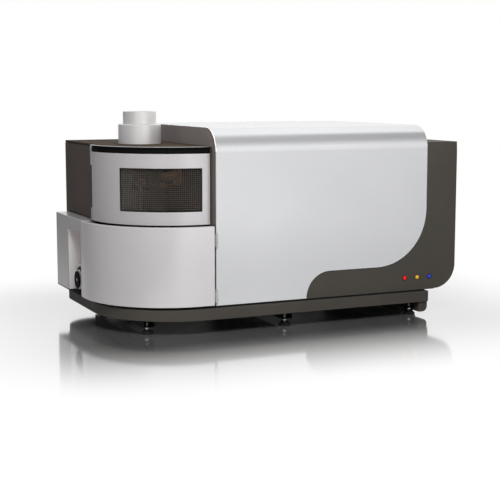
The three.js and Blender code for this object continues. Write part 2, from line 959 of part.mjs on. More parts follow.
// Wire screen: two curved faces and the four walls of each gap, on one grid of lines
function buildWindowScreen() {
  const outer = glassRadius() - glassThickness - fitGap;
  const inner = outer - screenThickness;
  const [start, end] = paneAngles(inner);
  const [bottom, top] = paneHeights();
  const wireAngle = THREE.MathUtils.radToDeg(screenWire / outer);
  const cellAngle = (end - start - wireAngle) / screenColumns - wireAngle;
  const cellHeight = (top - bottom - screenWire) / screenRows - screenWire;
  const angles = gridLines(start, wireAngle, cellAngle, screenColumns);
  const heights = gridLines(bottom, screenWire, cellHeight, screenRows);
  const positions = [];
  const index = [];
  for (const radius of [outer, inner]) {
    for (const height of heights) {
      for (const angle of angles) {
        const turn = radians(angle);
        const x = towerCentreX + radius * Math.cos(turn);
        const y = towerCentreY + radius * Math.sin(turn);
        positions.push(x, y, height);
      }
    }
  }
  const face = angles.length * heights.length;
  const corner = (side, row, column) => side * face + row * angles.length + column;
  const quad = (a, b, c, d) => index.push(a, b, c, a, c, d);
  const open = (row, column) => row % 2 === 1 && column % 2 === 1;
  const filled = (row, column) => {
    const inside = row >= 0 && column >= 0 && row < heights.length - 1 && column < angles.length - 1;
    return inside && !open(row, column);
  };
  for (let row = 0; row < heights.length - 1; row += 1) {
    for (let column = 0; column < angles.length - 1; column += 1) {
      if (!filled(row, column)) {
        continue;
      }
      const near = [corner(0, row, column), corner(0, row, column + 1)];
      const nearUp = [corner(0, row + 1, column), corner(0, row + 1, column + 1)];
      const far = [corner(1, row, column), corner(1, row, column + 1)];
      const farUp = [corner(1, row + 1, column), corner(1, row + 1, column + 1)];
      quad(near[0], near[1], nearUp[1], nearUp[0]);
      quad(far[0], farUp[0], farUp[1], far[1]);
      if (!filled(row - 1, column)) {
        quad(near[0], far[0], far[1], near[1]);
      }
      if (!filled(row + 1, column)) {
        quad(nearUp[0], nearUp[1], farUp[1], farUp[0]);
      }
      if (!filled(row, column - 1)) {
        quad(near[0], nearUp[0], farUp[0], far[0]);
      }
      if (!filled(row, column + 1)) {
        quad(near[1], far[1], farUp[1], nearUp[1]);
      }
    }
  }
  const geometry = new THREE.BufferGeometry();
  geometry.setAttribute('position', new THREE.Float32BufferAttribute(positions, 3));
  geometry.setIndex(index);
  geometry.computeVertexNormals();
  return named('window_screen', geometry, stainless);
}

function gridLines(start, wire, cell, count) {
  const lines = [start];
  for (let number = 0; number < count; number += 1) {
    const left = start + number * (wire + cell) + wire;
    lines.push(left, left + cell);
  }
  lines.push(start + count * (wire + cell) + wire);
  return lines;
}

// Lower door: side, quarter round and a short flat up to the hinge
function buildLowerDoor() {
  const inner = bayRadius - doorThickness;
  const outline = new THREE.Shape();
  outline.moveTo(bayFaceX + doorThickness, bayShoulderY);
  outline.lineTo(bayFaceX, bayShoulderY);
  outline.lineTo(bayFaceX, bayCentreY);
  outline.absarc(bayCentreX, bayCentreY, bayRadius, Math.PI, Math.PI * 1.5, false);
  outline.lineTo(lowerDoorEndX, bayFrontY);
  outline.lineTo(lowerDoorEndX, bayFrontY + doorThickness);
  outline.lineTo(bayCentreX, bayFrontY + doorThickness);
  outline.absarc(bayCentreX, bayCentreY, inner, Math.PI * 1.5, Math.PI, true);
  outline.closePath();
  const wall = raised(outline, lowerDoorBottom, lowerDoorTop);
  const knuckles = lowerHingeSpans().map((span) => {
    const [bottom, top] = span.moving;
    const barrel = knuckle(slimHingeRadius, bottom, top, lowerHingeX, lowerHingeY);
    const leaf = block(
      [lowerDoorEndX - hingeLeafWidth, bayFrontY, bottom],
      [lowerHingeX - hingePinRadius - doorGap, lowerHingeY + hingePinRadius, top],
    );
    return join(barrel, leaf);
  });
  return named('lower_door', join(wall, ...knuckles), doorPaint);
}

function lowerHingeSpans() {
  const high = lowerDoorTop - lowerHingeDrop;
  const low = lowerHingeLift;
  const half = lowerHingeHeight / 2;
  return [
    {
      name: 'lower_hinge_upper',
      fixed: [high - lowerHingeHeight, high - half - fitGap],
      moving: [high - half, high],
    },
    {
      name: 'lower_hinge_lower',
      fixed: [low, low + half - fitGap],
      moving: [low + half, low + lowerHingeHeight],
    },
  ];
}

function buildLowerHinge(span) {
  const [bottom, top] = span.fixed;
  const barrel = bar(slimHingeRadius, 'z', bottom, top, [lowerHingeX, lowerHingeY]);
  const pin = bar(hingePinRadius, 'z', bottom, span.moving[1], [lowerHingeX, lowerHingeY]);
  const leaf = block(
    [lowerHingeX, lowerHingeY, bottom],
    [lowerHingeX + slimLeafWidth, coverFaceY - fitGap, top],
  );
  return named(span.name, join(barrel, pin, leaf), brightSteel);
}

function buildExhaust() {
  const ringBottom = cabinetHeight + fitGap;
  const ringTop = ringBottom + exhaustRingHeight;
  const collarBottom = ringTop + fitGap;
  const collarTop = collarBottom + exhaustCollarHeight;
  const ring = turned(
    ringProfile(exhaustBore, exhaustRingRadius, ringBottom, ringTop, exhaustEdge),
  );
  const collar = turned(
    ringProfile(exhaustBore, exhaustCollarRadius, collarBottom, collarTop, exhaustEdge / 2),
  );
  const group = new THREE.Group();
  group.position.set(exhaustX, exhaustY, 0);
  group.add(named('exhaust_ring', ring, satinWhite));
  group.add(named('exhaust_collar', collar, satinWhite));
  return group;
}

// Plan outline of the base, drawn in by an inset all round
function plinthOutline(inset) {
  const left = -plinthLeft + inset;
  const front = -plinthFront + inset;
  const right = plinthWidth - inset;
  const rear = cabinetDepth - inset;
  const radius = plinthRadius - inset;
  const corner = plinthCornerRadius - Math.min(inset, plinthCornerRadius / 2);
  const outline = new THREE.Shape();
  const rearRadius = plinthRearRadius - inset;
  outline.moveTo(left + rearRadius, rear);
  outline.absarc(left + rearRadius, rear - rearRadius, rearRadius, Math.PI / 2, Math.PI, false);
  outline.lineTo(left, front + radius);
  outline.absarc(left + radius, front + radius, radius, Math.PI, Math.PI * 1.5, false);
  outline.lineTo(right - corner, front);
  outline.absarc(right - corner, front + corner, corner, -Math.PI / 2, 0, false);
  outline.lineTo(right, rear);
  outline.closePath();
  return outline;
}

function buildPlinth() {
  const skirt = raised(plinthOutline(0), plinthBottom, plinthTop);
  const step = raised(plinthOutline(plinthStep), plinthTop - plinthSheet, -fitGap);
  const hollow = raised(
    plinthOutline(plinthSheet),
    plinthBottom - overrun,
    plinthTop - plinthSheet,
  );
  return named('base_plinth', cut(join(skirt, step), hollow), darkPaint);
}

// Bearers: square tubes that run front to back under the base, each on two feet
function footRows() {
  return [
    { name: 'left', x: footLeftX, frontY: footLeftY },
    { name: 'middle', x: footMiddleX, frontY: footFrontY },
    { name: 'right', x: footRightX, frontY: footFrontY },
  ];
}

function buildBearer(row) {
  const halfWidth = bearerWidth / 2;
  const outline = new THREE.Shape();
  outline.moveTo(row.x - halfWidth, bearerBottom);
  outline.lineTo(row.x + halfWidth, bearerBottom);
  outline.lineTo(row.x + halfWidth, bearerTop);
  outline.lineTo(row.x - halfWidth, bearerTop);
  outline.closePath();
  const inner = block(
    [row.x - halfWidth + bearerWall, -overrun - bearerEnd, bearerBottom + bearerWall],
    [row.x + halfWidth - bearerWall, cabinetDepth + overrun, bearerTop - bearerWall],
  );
  const front = row.frontY - bearerEnd;
  const rear = cabinetDepth - front;
  const bores = [row.frontY, cabinetDepth - row.frontY].map((y) =>
    bar(
      studRadius + fitGap,
      'z',
      bearerBottom - overrun,
      bearerBottom + bearerWall + doorGap,
      [row.x, y],
    ),
  );
  const tube = cut(fronted(outline, front, rear), inner, ...bores);
  return named(`bearer_${row.name}`, tube, blackSteel);
}

// Levelling foot: a coned pad, its stud and the lock nut that the bearer rests on
function buildFoot(name, x, y) {
  const nutTop = footDrop - fitGap;
  const nutBottom = nutTop - studNutHeight;
  const profile = [
    [0, 0],
    [footRadius, 0],
    [footRadius, footRimHeight],
    [footNeckRadius, footHeight],
    [studRadius, footHeight],
    [studRadius, nutBottom],
    [studNutRadius, nutBottom],
    [studNutRadius, nutTop],
    [studRadius, nutTop],
    [studRadius, nutTop + studReach],
    [0, nutTop + studReach],
  ];
  const foot = named(name, turned(profile, smallSteps), blackRubber);
  foot.position.set(x, y, benchLevel);
  return foot;
}

function buildFeet() {
  const feet = [];
  for (const row of footRows()) {
    feet.push(buildFoot(`levelling_foot_front_${row.name}`, row.x, row.frontY));
    feet.push(buildFoot(`levelling_foot_rear_${row.name}`, row.x, cabinetDepth - row.frontY));
  }
  return feet;
}

// Heights of the torch and of what faces it
function torchBottom() {
  return shelfTop + fitGap + torchMountHeight - torchSeatDepth + fitGap;
}

function coilTop() {
  return torchBottom() + torchHeight - coilDrop + coilPitch * coilTurns;
}

function plasmaHeight() {
  return coilTop() + coilPitch + coilPitch;
}

function buildTorch() {
  const bottom = torchBottom();
  const top = bottom + torchHeight;
  const inner = torchRadius - torchWall;
  const profile = [
    [0, bottom],
    [torchBaseRadius, bottom],
    [torchBaseRadius, bottom + torchBaseHeight],
    [torchRadius, bottom + torchBaseHeight],
    [torchRadius, top],
    [inner, top],
    [inner, bottom + torchFloor],
    [0, bottom + torchFloor],
  ];
  const torch = named('torch', turned(profile, smallSteps), quartz);
  torch.position.set(exhaustX, exhaustY, 0);
  return torch;
}

function buildTorchMount() {
  const bottom = shelfTop + fitGap;
  const half = torchMountWidth / 2;
  const body = block(
    [exhaustX - half, exhaustY - half, bottom],
    [exhaustX + half, exhaustY + half, bottom + torchMountHeight],
  );
  const seat = bar(
    torchBaseRadius + fitGap,
    'z',
    torchBottom() - fitGap,
    bottom + torchMountHeight + overrun,
    [exhaustX, exhaustY],
  );
  const throat = bar(
    chamberNeckRadius + fitGap,
    'z',
    bottom - overrun,
    bottom + torchMountHeight,
    [exhaustX, exhaustY],
  );
  return named('torch_mount', cut(body, seat, throat), ceramicWhite);
}

// Route of the load coil: a lead from the mount, the turns, and a lead back
function coilPoints() {
  const bottom = coilTop() - coilPitch * coilTurns;
  const steps = coilTurns * coilStepsPerTurn;
  const points = [];
  for (let step = 0; step <= steps; step += 1) {
    const angle = (step / coilStepsPerTurn) * Math.PI * 2;
    const height = bottom + (step / coilStepsPerTurn) * coilPitch;
    const x = coilRadius * Math.cos(angle);
    const y = coilRadius * Math.sin(angle);
    points.push(new THREE.Vector3(x, y, height));
  }
  const start = points[0];
  const end = points[points.length - 1];
  points.unshift(new THREE.Vector3(start.x + coilRadius, coilLead, start.z));
  points.splice(1, 0, new THREE.Vector3(start.x + coilRadius, coilRadius, start.z));
  points.splice(2, 0, new THREE.Vector3(start.x + coilTubeRadius * 3, coilTubeRadius, start.z));
  points.push(new THREE.Vector3(end.x, coilRadius, end.z));
  points.push(new THREE.Vector3(end.x, coilLead, end.z));
  return points;
}

// Least clear gap between stretches of the coil that lie at least half a turn apart
function coilGap(points) {
  let least = Infinity;
  for (let first = 0; first < points.length; first += 1) {
    for (let second = first + coilStepsPerTurn / 2; second < points.length; second += 1) {
      least = Math.min(least, points[first].distanceTo(points[second]));
    }
  }
  return least - coilTubeRadius * 2;
}

// Tube of a fixed number of sides swept through points, closed at both ends
function sweptTube(points, radius, sides, firstSide) {
  const tangents = points.map((point, place) => {
    const before = points[Math.max(0, place - 1)];
    const after = points[Math.min(points.length - 1, place + 1)];
    return after.clone().sub(before).normalize();
  });
  const positions = [];
  const index = [];
  const side = firstSide.clone();
  points.forEach((point, place) => {
    const tangent = tangents[place];
    side.addScaledVector(tangent, -side.dot(tangent)).normalize();
    const across = new THREE.Vector3().crossVectors(tangent, side);
    for (let corner = 0; corner < sides; corner += 1) {
      const angle = (corner / sides) * Math.PI * 2;
      const spot = point.clone();
      spot.addScaledVector(side, radius * Math.cos(angle));
      spot.addScaledVector(across, radius * Math.sin(angle));
      positions.push(spot.x, spot.y, spot.z);
    }
  });
  for (let place = 0; place < points.length - 1; place += 1) {
    for (let corner = 0; corner < sides; corner += 1) {
      const next = (corner + 1) % sides;
      const here = place * sides;
      const there = here + sides;
      index.push(here + corner, here + next, there + next);
      index.push(here + corner, there + next, there + corner);
    }
  }
  const last = (points.length - 1) * sides;
  for (let corner = 1; corner < sides - 1; corner += 1) {
    index.push(0, corner + 1, corner);
    index.push(last, last + corner, last + corner + 1);
  }
  const geometry = new THREE.BufferGeometry();
  geometry.setAttribute('position', new THREE.Float32BufferAttribute(positions, 3));
  geometry.setIndex(index);
  geometry.computeVertexNormals();
  return geometry;
}

function buildLoadCoil() {
  const points = coilPoints();
  console.log(`load coil least gap ${coilGap(points).toFixed(2)} mm`);
  const upright = new THREE.Vector3(0, 0, 1);
  const tube = sweptTube(points, coilTubeRadius, coilSides, upright);
  const coil = named('load_coil', tube, copper);
  coil.position.set(exhaustX, exhaustY, 0);
  return coil;
}

function buildCoilMount() {
  const front = exhaustY + coilLead + fitGap;
  const middle = coilTop() - (coilPitch * coilTurns) / 2;
  const half = coilMountHeight / 2;
  const left = exhaustX + coilRadius * 3 / 2 - coilMountWidth / 2;
  const body = block(
    [left, front + coilPostRadius, middle - half],
    [left + coilMountWidth, torchWallY - fitGap, middle + half],
  );
  const posts = [
    [exhaustX + coilRadius * 2, middle - (coilPitch * coilTurns) / 2],
    [exhaustX + coilRadius, middle + (coilPitch * coilTurns) / 2],
  ].map((centre) => bar(coilPostRadius, 'y', front, front + coilPostRadius * 2, centre));
  return named('coil_mount', join(body, ...posts), ceramicWhite);
}

// Hollow cone that looks at the plasma, its flange on the bulkhead and its tube through it
function buildInterface() {
  const face = cheekLeft - fitGap;
  const tip = face - interfaceFlangeThickness - interfaceConeLength;
  const end = chamberLeftX - fitGap;
  const profile = [
    [interfaceBore, tip],
    [interfaceTipRadius, tip],
    [interfaceTubeRadius, face - interfaceFlangeThickness],
    [interfaceFlangeRadius, face - interfaceFlangeThickness],
    [interfaceFlangeRadius, face],
    [interfaceTubeRadius, face],
    [interfaceTubeRadius, end],
    [interfaceBore, end],
    [interfaceBore, tip],
  ];
  const cone = turned(profile, arcSteps).rotateY(Math.PI / 2);
  const mesh = named('optics_interface', cone, castAluminium);
  mesh.position.set(0, exhaustY, plasmaHeight());
  return mesh;
}

// Blown spray chamber, open at its neck, its drain and its side port
function buildSprayChamber() {
  const neckTop = torchBottom() - fitGap - fitGap;
  const bodyTop = shelfLevel - chamberNeckLength;
  const centreZ = bodyTop - chamberRadius;
  const drainBottom = centreZ - chamberRadius - chamberDrainLength;
  const wallAt = (radius, neck, drain) => {
    const points = [];
    const top = Math.asin(neck / radius);
    const low = Math.PI - Math.asin(drain / radius);
    for (let step = 0; step <= bendSteps; step += 1) {
      const angle = top + ((low - top) * step) / bendSteps;
      points.push([radius * Math.sin(angle), centreZ + radius * Math.cos(angle)]);
    }
    return points;
  };
  const innerRadius = chamberRadius - chamberWall;
  const innerNeck = chamberNeckRadius - chamberWall;
  const innerDrain = chamberDrainRadius - chamberWall;
  const outer = wallAt(chamberRadius, chamberNeckRadius, chamberDrainRadius).reverse();
  const inner = wallAt(innerRadius, innerNeck, innerDrain);
  const profile = [
    [innerDrain, drainBottom],
    [chamberDrainRadius, drainBottom],
    ...outer,
    [chamberNeckRadius, neckTop],
    [innerNeck, neckTop],
    ...inner,
    [innerDrain, drainBottom],
  ];
  const body = turned(profile, smallSteps).translate(exhaustX, exhaustY, 0);
  const portFace = exhaustY - chamberRadius - portLength;
  const middle = [exhaustX, centreZ];
  const port = bar(portRadius, 'y', portFace, exhaustY - innerRadius + chamberWall, middle);
  const bore = bar(nebulizerRadius + fitGap, 'y', portFace - overrun, exhaustY - innerRadius / 2, middle);
  const glassware = cut(join(body, port), bore);
  return named('spray_chamber', glassware, quartz);
}

function buildNebulizer() {
  const centreZ = shelfLevel - chamberNeckLength - chamberRadius;
  const tip = exhaustY - chamberRadius;
  const front = tip - nebulizerLength;
  const arm = bar(
    nebulizerArmRadius,
    'z',
    centreZ - nebulizerRadius - nebulizerArmLength,
    centreZ,
    [exhaustX, (front + tip - portLength) / 2],
  );
  const body = bar(nebulizerRadius, 'y', front, tip, [exhaustX, centreZ]);
  return named('nebulizer', join(body, arm), quartz);
}

// Places along x of the pump's pieces
function pumpFaceX() {
  return recessBackX - fitGap - pumpBodyDepth;
}

function rotorMiddleX() {
  return pumpFaceX() - fitGap - pumpRotorWidth / 2;
}

function pivotPlace() {
  return [pumpY + pumpPivotOffsetY, pumpZ + pumpPivotOffsetZ];
}

function buildPumpBody() {
  const bottom = recessBottom + sheet + fitGap;
  const front = pumpBodyFrontY;
  const body = block(
    [pumpFaceX(), front, bottom],
    [recessBackX - fitGap, front + pumpBodyWidth, bottom + pumpBodyHeight],
  );
  const shaftBore = bar(
    pumpShaftRadius + fitGap,
    'x',
    pumpFaceX() - overrun,
    pumpFaceX() + pumpShaftDepth + fitGap,
    [pumpY, pumpZ],
  );
  const pivot = bar(
    pumpPivotRadius,
    'x',
    rotorMiddleX() - pumpShoeWidth / 2,
    pumpFaceX() + pumpShaftDepth,
    pivotPlace(),
  );
  return named('pump_body', join(cut(body, shaftBore), pivot), blackPlastic);
}

// Rotor: a drum of rollers between two discs, the knob in front and the shaft behind
function buildPumpRotor() {
  const right = pumpFaceX() - fitGap;
  const left = right - pumpRotorWidth;
  const knobRight = left - pumpKnobGap;
  const knobLeft = knobRight - pumpKnobThickness;
  const discRadius = pumpRotorRadius - pumpRollerRadius / 2;
  const centre = [pumpY, pumpZ];
  const pieces = [
    bar(discRadius, 'x', left, left + pumpDiscThickness, centre, arcSteps),
    bar(discRadius, 'x', right - pumpDiscThickness, right, centre, arcSteps),
    bar(pumpHubRadius, 'x', knobLeft, right, centre),
    bar(pumpKnobRadius, 'x', knobLeft, knobRight, centre, arcSteps),
    bar(pumpShaftRadius, 'x', right - pumpDiscThickness, right + pumpShaftDepth, centre),
  ];
  const reach = pumpRotorRadius - pumpRollerRadius;
  for (let roller = 0; roller < pumpRollerCount; roller += 1) {
    const angle = (roller / pumpRollerCount) * Math.PI * 2;
    const place = [pumpY + reach * Math.cos(angle), pumpZ + reach * Math.sin(angle)];
    const from = left + pumpDiscThickness / 2;
    const to = right - pumpDiscThickness / 2;
    pieces.push(bar(pumpRollerRadius, 'x', from, to, place, bendSteps));
  }
  return named('pump_rotor', join(...pieces), blackPlastic);
}

function tubeRadiusOnRotor() {
  return pumpRotorRadius + fitGap + pumpTubeRadius;
}

// Sector of a ring round the pump's axis, in the side view
function pumpSector(inner, outer, startAngle, endAngle) {
  const outline = new THREE.Shape();
  const start = radians(startAngle);
  const end = radians(endAngle);
  outline.absarc(pumpY, pumpZ, outer, start, end, false);
  outline.absarc(pumpY, pumpZ, inner, end, start, true);
  outline.closePath();
  return outline;
}

// Clamp: a curved shoe over the tube, an ear round the pivot and an upright lever
function buildPumpClamp() {
  const inner = tubeRadiusOnRotor() + pumpTubeRadius + fitGap;
  const outer = inner + pumpShoeThickness;
  const left = rotorMiddleX() - pumpShoeWidth / 2;
  const right = rotorMiddleX() + pumpShoeWidth / 2;
  const pivotReach = Math.hypot(pumpPivotOffsetY, pumpPivotOffsetZ);
  const pivotAngle = THREE.MathUtils.radToDeg(Math.atan2(pumpPivotOffsetZ, pumpPivotOffsetY));
  const armAngle = THREE.MathUtils.radToDeg(pumpEarRadius / pivotReach) / 2;
  const shoe = sided(
    pumpSector(inner, outer, pumpShoeStartAngle, pumpShoeEndAngle),
    left,
    right,
    bendSteps,
  );
  const arm = sided(
    pumpSector(outer - fitGap, pivotReach, pivotAngle - armAngle, pivotAngle + armAngle),
    left,
    right,
    bendSteps,
  );
  const leverAngle = radians(pumpLeverAngle);
  const leverY = pumpY + outer * Math.cos(leverAngle);
  const leverFoot = pumpZ + outer * Math.sin(leverAngle);
  const lever = block(
    [left, leverY, leverFoot - pumpShoeThickness / 2],
    [right, leverY + pumpLeverWidth, pumpLeverTop],
  );
  const ear = bar(pumpEarRadius, 'x', left, right, pivotPlace());
  const bore = bar(pumpPivotRadius + fitGap, 'x', left - overrun, right + overrun, pivotPlace());
  return named('pump_clamp', cut(join(shoe, arm, lever, ear), bore), blackPlastic);
}

function buildPumpTube() {
  const x = rotorMiddleX();
  const reach = tubeRadiusOnRotor();
  const bottom = recessBottom + sheet + fitGap;
  const steps = smallSteps;
  const points = [new THREE.Vector3(x, pumpY + reach, bottom)];
  for (let step = 0; step <= steps; step += 1) {
    const angle = (Math.PI * step) / steps;
    const y = pumpY + reach * Math.cos(angle);
    const z = pumpZ + reach * Math.sin(angle);
    points.push(new THREE.Vector3(x, y, z));
  }
  points.push(new THREE.Vector3(x, pumpY - reach, bottom));
  const tube = sweptTube(points, pumpTubeRadius, coilSides, new THREE.Vector3(1, 0, 0));
  return named('pump_tube', tube, clearTube);
}

// Buttons and the carrier behind them
function buttonPlaces() {
  return Array.from({ length: buttonCount }, (_, number) => buttonFirstX + buttonPitch * number);
}

function buildButton(name, x, material) {
  const cap = bar(buttonRadius, 'y', -buttonProud, -buttonProud + buttonDepth, [x, buttonZ]);
  const stemStart = -buttonProud + buttonDepth / 2;
  const stemEnd = -buttonProud + buttonDepth + buttonStemLength;
  const stem = bar(buttonStemRadius, 'y', stemStart, stemEnd, [x, buttonZ]);
  return named(name, join(cap, stem), material);
}

function buildButtonCarrier() {
  const places = buttonPlaces();
  const left = places[0] - carrierMargin - buttonRadius;
  const right = places[places.length - 1] + carrierMargin + buttonRadius;
  const panelBack = sheet + fitGap;
  const front = -buttonProud + buttonDepth + buttonTravel + doorGap;
  const back = front + carrierThickness;
  const low = buttonZ - carrierHeight / 2;
  const high = buttonZ + carrierHeight / 2;
  const plate = block([left, front, low], [right, back, high]);
  const posts = [
    block([left, panelBack, low], [left + carrierMargin / 2, back, high]),
    block([right - carrierMargin / 2, panelBack, low], [right, back, high]),
  ];
  const bores = places.map((x) =>
    bar(buttonStemRadius + fitGap, 'y', front - overrun, back + overrun, [x, buttonZ]),
  );
  return named('button_carrier', cut(join(plate, ...posts), ...bores), blackPlastic);
}

// Boxes in the cabinet
function hollowBox(from, to, wall, portCentre) {
  const inner = block(
    from.map((value) => value + wall),
    to.map((value) => value - wall),
  );
  const port = bar(
    enclosurePort / 2,
    'y',
    from[1] - overrun,
    from[1] + wall + overrun,
    portCentre,
  );
  return cut(block(from, to), inner, port);
}

function buildOpticalChamber() {
  const left = chamberLeftX;
  const right = chamberLeftX + opticsLength;
  const front = chamberFrontY;
  const rear = chamberFrontY + opticsDepth;
  const bottom = standLevel;
  const top = bottom + opticsHeight;
  const inner = block(
    [left + opticsWall, front + opticsWall, bottom + opticsWall],
    [right - opticsWall, rear - opticsWall, top - opticsWall],
  );
  const entry = bar(
    interfaceBore,
    'x',
    left - overrun,
    left + opticsWall + overrun,
    [exhaustY, plasmaHeight()],
  );
  const exit = bar(
    detectorSize / 4,
    'x',
    right - opticsWall - overrun,
    right + overrun,
    [exhaustY, opticsMiddleZ],
  );
  const shell = cut(block([left, front, bottom], [right, rear, top]), inner, entry, exit);
  return named('optical_chamber', shell, castAluminium);
}

function buildDetector() {
  const left = detectorLeftX + fitGap;
  const half = detectorSize / 2;
  const z = opticsMiddleZ;
  const bodyEnd = left + detectorLength;
  const body = block([left, exhaustY - half, z - half], [bodyEnd, exhaustY + half, z + half]);
  const fins = [];
  const pitch = (detectorSize - detectorFinThickness) / (detectorFinCount - 1);
  for (let number = 0; number < detectorFinCount; number += 1) {
    const low = z - half + pitch * number;
    fins.push(
      block(
        [bodyEnd - fitGap, exhaustY - half, low],
        [bodyEnd + detectorFinDepth, exhaustY + half, low + detectorFinThickness],
      ),
    );
  }
  return named('detector_module', join(body, ...fins), castAluminium);
}

function buildGenerator() {
  const from = [generatorLeftX, generatorFrontY, standLevel];
  const to = [
    generatorLeftX + generatorLength,
    generatorFrontY + generatorDepth,
    standLevel + generatorHeight,
  ];
  const port = [generatorLeftX + enclosurePort, standLevel + generatorHeight / 2];
  return named('rf_generator', hollowBox(from, to, enclosureWall, port), castAluminium);
}

function buildPowerSupply() {
  const from = [generatorLeftX, supplyFrontY, standLevel];
  const to = [
    generatorLeftX + supplyLength - cabinetCornerRadius,
    supplyFrontY + supplyDepth,
    standLevel + supplyHeight,
  ];
  const port = [generatorLeftX + enclosurePort, standLevel + supplyHeight / 2];
  return named('power_supply', hollowBox(from, to, enclosureWall, port), stainless);
}

function boardPortPlaces() {
  const pitch = boardLength / (boardPortCount + 1);
  return Array.from({ length: boardPortCount }, (_, number) => boardLeftX + pitch * (number + 1));
}

function boardPortZ() {
  return boardBottom + boardStandoffWidth * 2;
}

function buildControlBoard() {
  const back = rearInside - fitGap;
  const boardBack = back - boardStandoff;
  const right = boardLeftX + boardLength;
  const top = boardBottom + boardHeight;
  const pieces = [
    block([boardLeftX, boardBack - boardThickness, boardBottom], [right, boardBack, top]),
  ];
  for (const x of [boardLeftX, right - boardStandoffWidth]) {
    for (const z of [boardBottom, top - boardStandoffWidth]) {
      const corner = [x + boardStandoffWidth, back, z + boardStandoffWidth];
      pieces.push(block([x, boardBack - boardThickness, z], corner));
    }
  }
  for (const x of boardPortPlaces()) {
    pieces.push(
      block(
        [x - boardPortWidth / 2, boardBack - boardThickness, boardPortZ()],
        [x + boardPortWidth / 2, cabinetDepth, boardPortZ() + boardPortHeight],
      ),
    );
  }
  return named('control_board', join(...pieces), boardGreen);
}

// Cooling fan behind the rear grille
function buildFanHousing() {
  const back = rearInside - fitGap;
  const front = back - fanDepth;
  const half = fanSize / 2;
  const centre = [fanX, fanZ];
  const frame = cut(
    block([fanX - half, front, fanZ - half], [fanX + half, back, fanZ + half]),
    bar(fanBore, 'y', front - overrun, back + overrun, centre, ringSteps),
  );
  const struts = [
    block(
      [fanX - fanBore - fanStrutWidth / 2, front, fanZ - fanStrutWidth / 2],
      [fanX + fanBore + fanStrutWidth / 2, front + fanStrutDepth, fanZ + fanStrutWidth / 2],
    ),
    block(
      [fanX - fanStrutWidth / 2, front, fanZ - fanBore - fanStrutWidth / 2],
      [fanX + fanStrutWidth / 2, front + fanStrutDepth, fanZ + fanBore + fanStrutWidth / 2],
    ),
  ];
  const motor = bar(fanHubRadius, 'y', front, front + fanMotorDepth, centre);
  const pin = bar(fanStrutWidth / 2, 'y', front, back - fanMotorDepth, centre);
  return named('fan_housing', join(frame, ...struts, motor, pin), blackPlastic);
}

function buildFanRotor() {
  const back = rearInside - fitGap - doorGap;
  const front = rearInside - fitGap - fanDepth + fanMotorDepth + fitGap;
  const hub = bar(fanHubRadius, 'y', front, back, [0, 0]);
  const pieces = [hub];
  const middle = (front + back) / 2;
  const chord = (back - front - fanBladeThickness) / Math.cos(radians(fanBladeAngle));
  const chordShown = Math.min(chord, back - front);
  const tip = fanBore - fanTipGap;
  for (let blade = 0; blade < fanBladeCount; blade += 1) {
    const plate = block(
      [-fanBladeThickness / 2, -chordShown / 2, fanHubRadius / 2],
      [fanBladeThickness / 2, chordShown / 2, tip],
    );
    plate.rotateZ(radians(fanBladeAngle));
    plate.translate(0, middle, 0);
    plate.rotateY((blade / fanBladeCount) * Math.PI * 2);
    pieces.push(plate);
  }
  const bore = bar(fanStrutWidth / 2 + fitGap, 'y', front - overrun, back - fanBladeThickness, [0, 0]);
  const rotor = named('fan_rotor', cut(join(...pieces), bore), blackPlastic);
  rotor.position.set(fanX, 0, fanZ);
  return rotor;
}

// Mains inlet with its socket and the rocker switch above it
function socketPlace() {
  return inletZ - inletHeight / 4;
}

function switchPlace() {
  return inletZ + inletHeight / 4;
}

function buildMainsInlet() {
  const flangeFront = cabinetDepth + fitGap;
  const flangeBack = flangeFront + inletFlangeThickness;
  const halfWidth = inletWidth / 2;
  const halfHeight = inletHeight / 2;
  const body = block(
    [inletX - halfWidth, flangeBack - inletDepth, inletZ - halfHeight],
    [inletX + halfWidth, flangeBack, inletZ + halfHeight],
  );
  const flange = block(
    [inletX - halfWidth - inletFlange, flangeFront, inletZ - halfHeight - inletFlange],
    [inletX + halfWidth + inletFlange, flangeBack, inletZ + halfHeight + inletFlange],
  );
  const socket = block(
    [inletX - socketWidth / 2, flangeBack - socketDepth, socketPlace() - socketHeight / 2],
    [inletX + socketWidth / 2, flangeBack + overrun, socketPlace() + socketHeight / 2],
  );
  const rockerRoom = block(
    [
      inletX - switchWidth / 2 - fitGap,
      flangeBack - switchDepth - switchProud,
      switchPlace() - switchHeight / 2 - doorGap,
    ],
    [
      inletX + switchWidth / 2 + fitGap,
      flangeBack + overrun,
      switchPlace() + switchHeight / 2 + doorGap,
    ],
  );
  return named('mains_inlet', cut(join(body, flange), socket, rockerRoom), blackPlastic);
}

// Rocker: a shallow wedge each side of its axis, standing tilted to its off side
function buildMainsSwitch() {
  const face = cabinetDepth + fitGap + inletFlangeThickness;
  const half = switchHeight / 2;
  const outline = polygon([
    [-switchDepth / 2, -half / 4],
    [-switchDepth / 2, half / 4],
    [0, half],
    [switchProud + doorGap, half],
    [switchProud, 0],
    [switchProud + doorGap, -half],
    [0, -half],
  ]);
  const rocker = named(
    'mains_switch',
    sided(outline, -switchWidth / 2, switchWidth / 2),
    blackPlastic,
  );
  rocker.position.set(inletX, face - switchProud / 2, switchPlace());
  rocker.rotation.x = radians(switchTiltAngle);
  return rocker;
}

// Gas and water fittings on one block behind the rear panel
function fittingPlaces() {
  return Array.from({ length: fittingCount }, (_, number) => portsX + portsPitch * number);
}

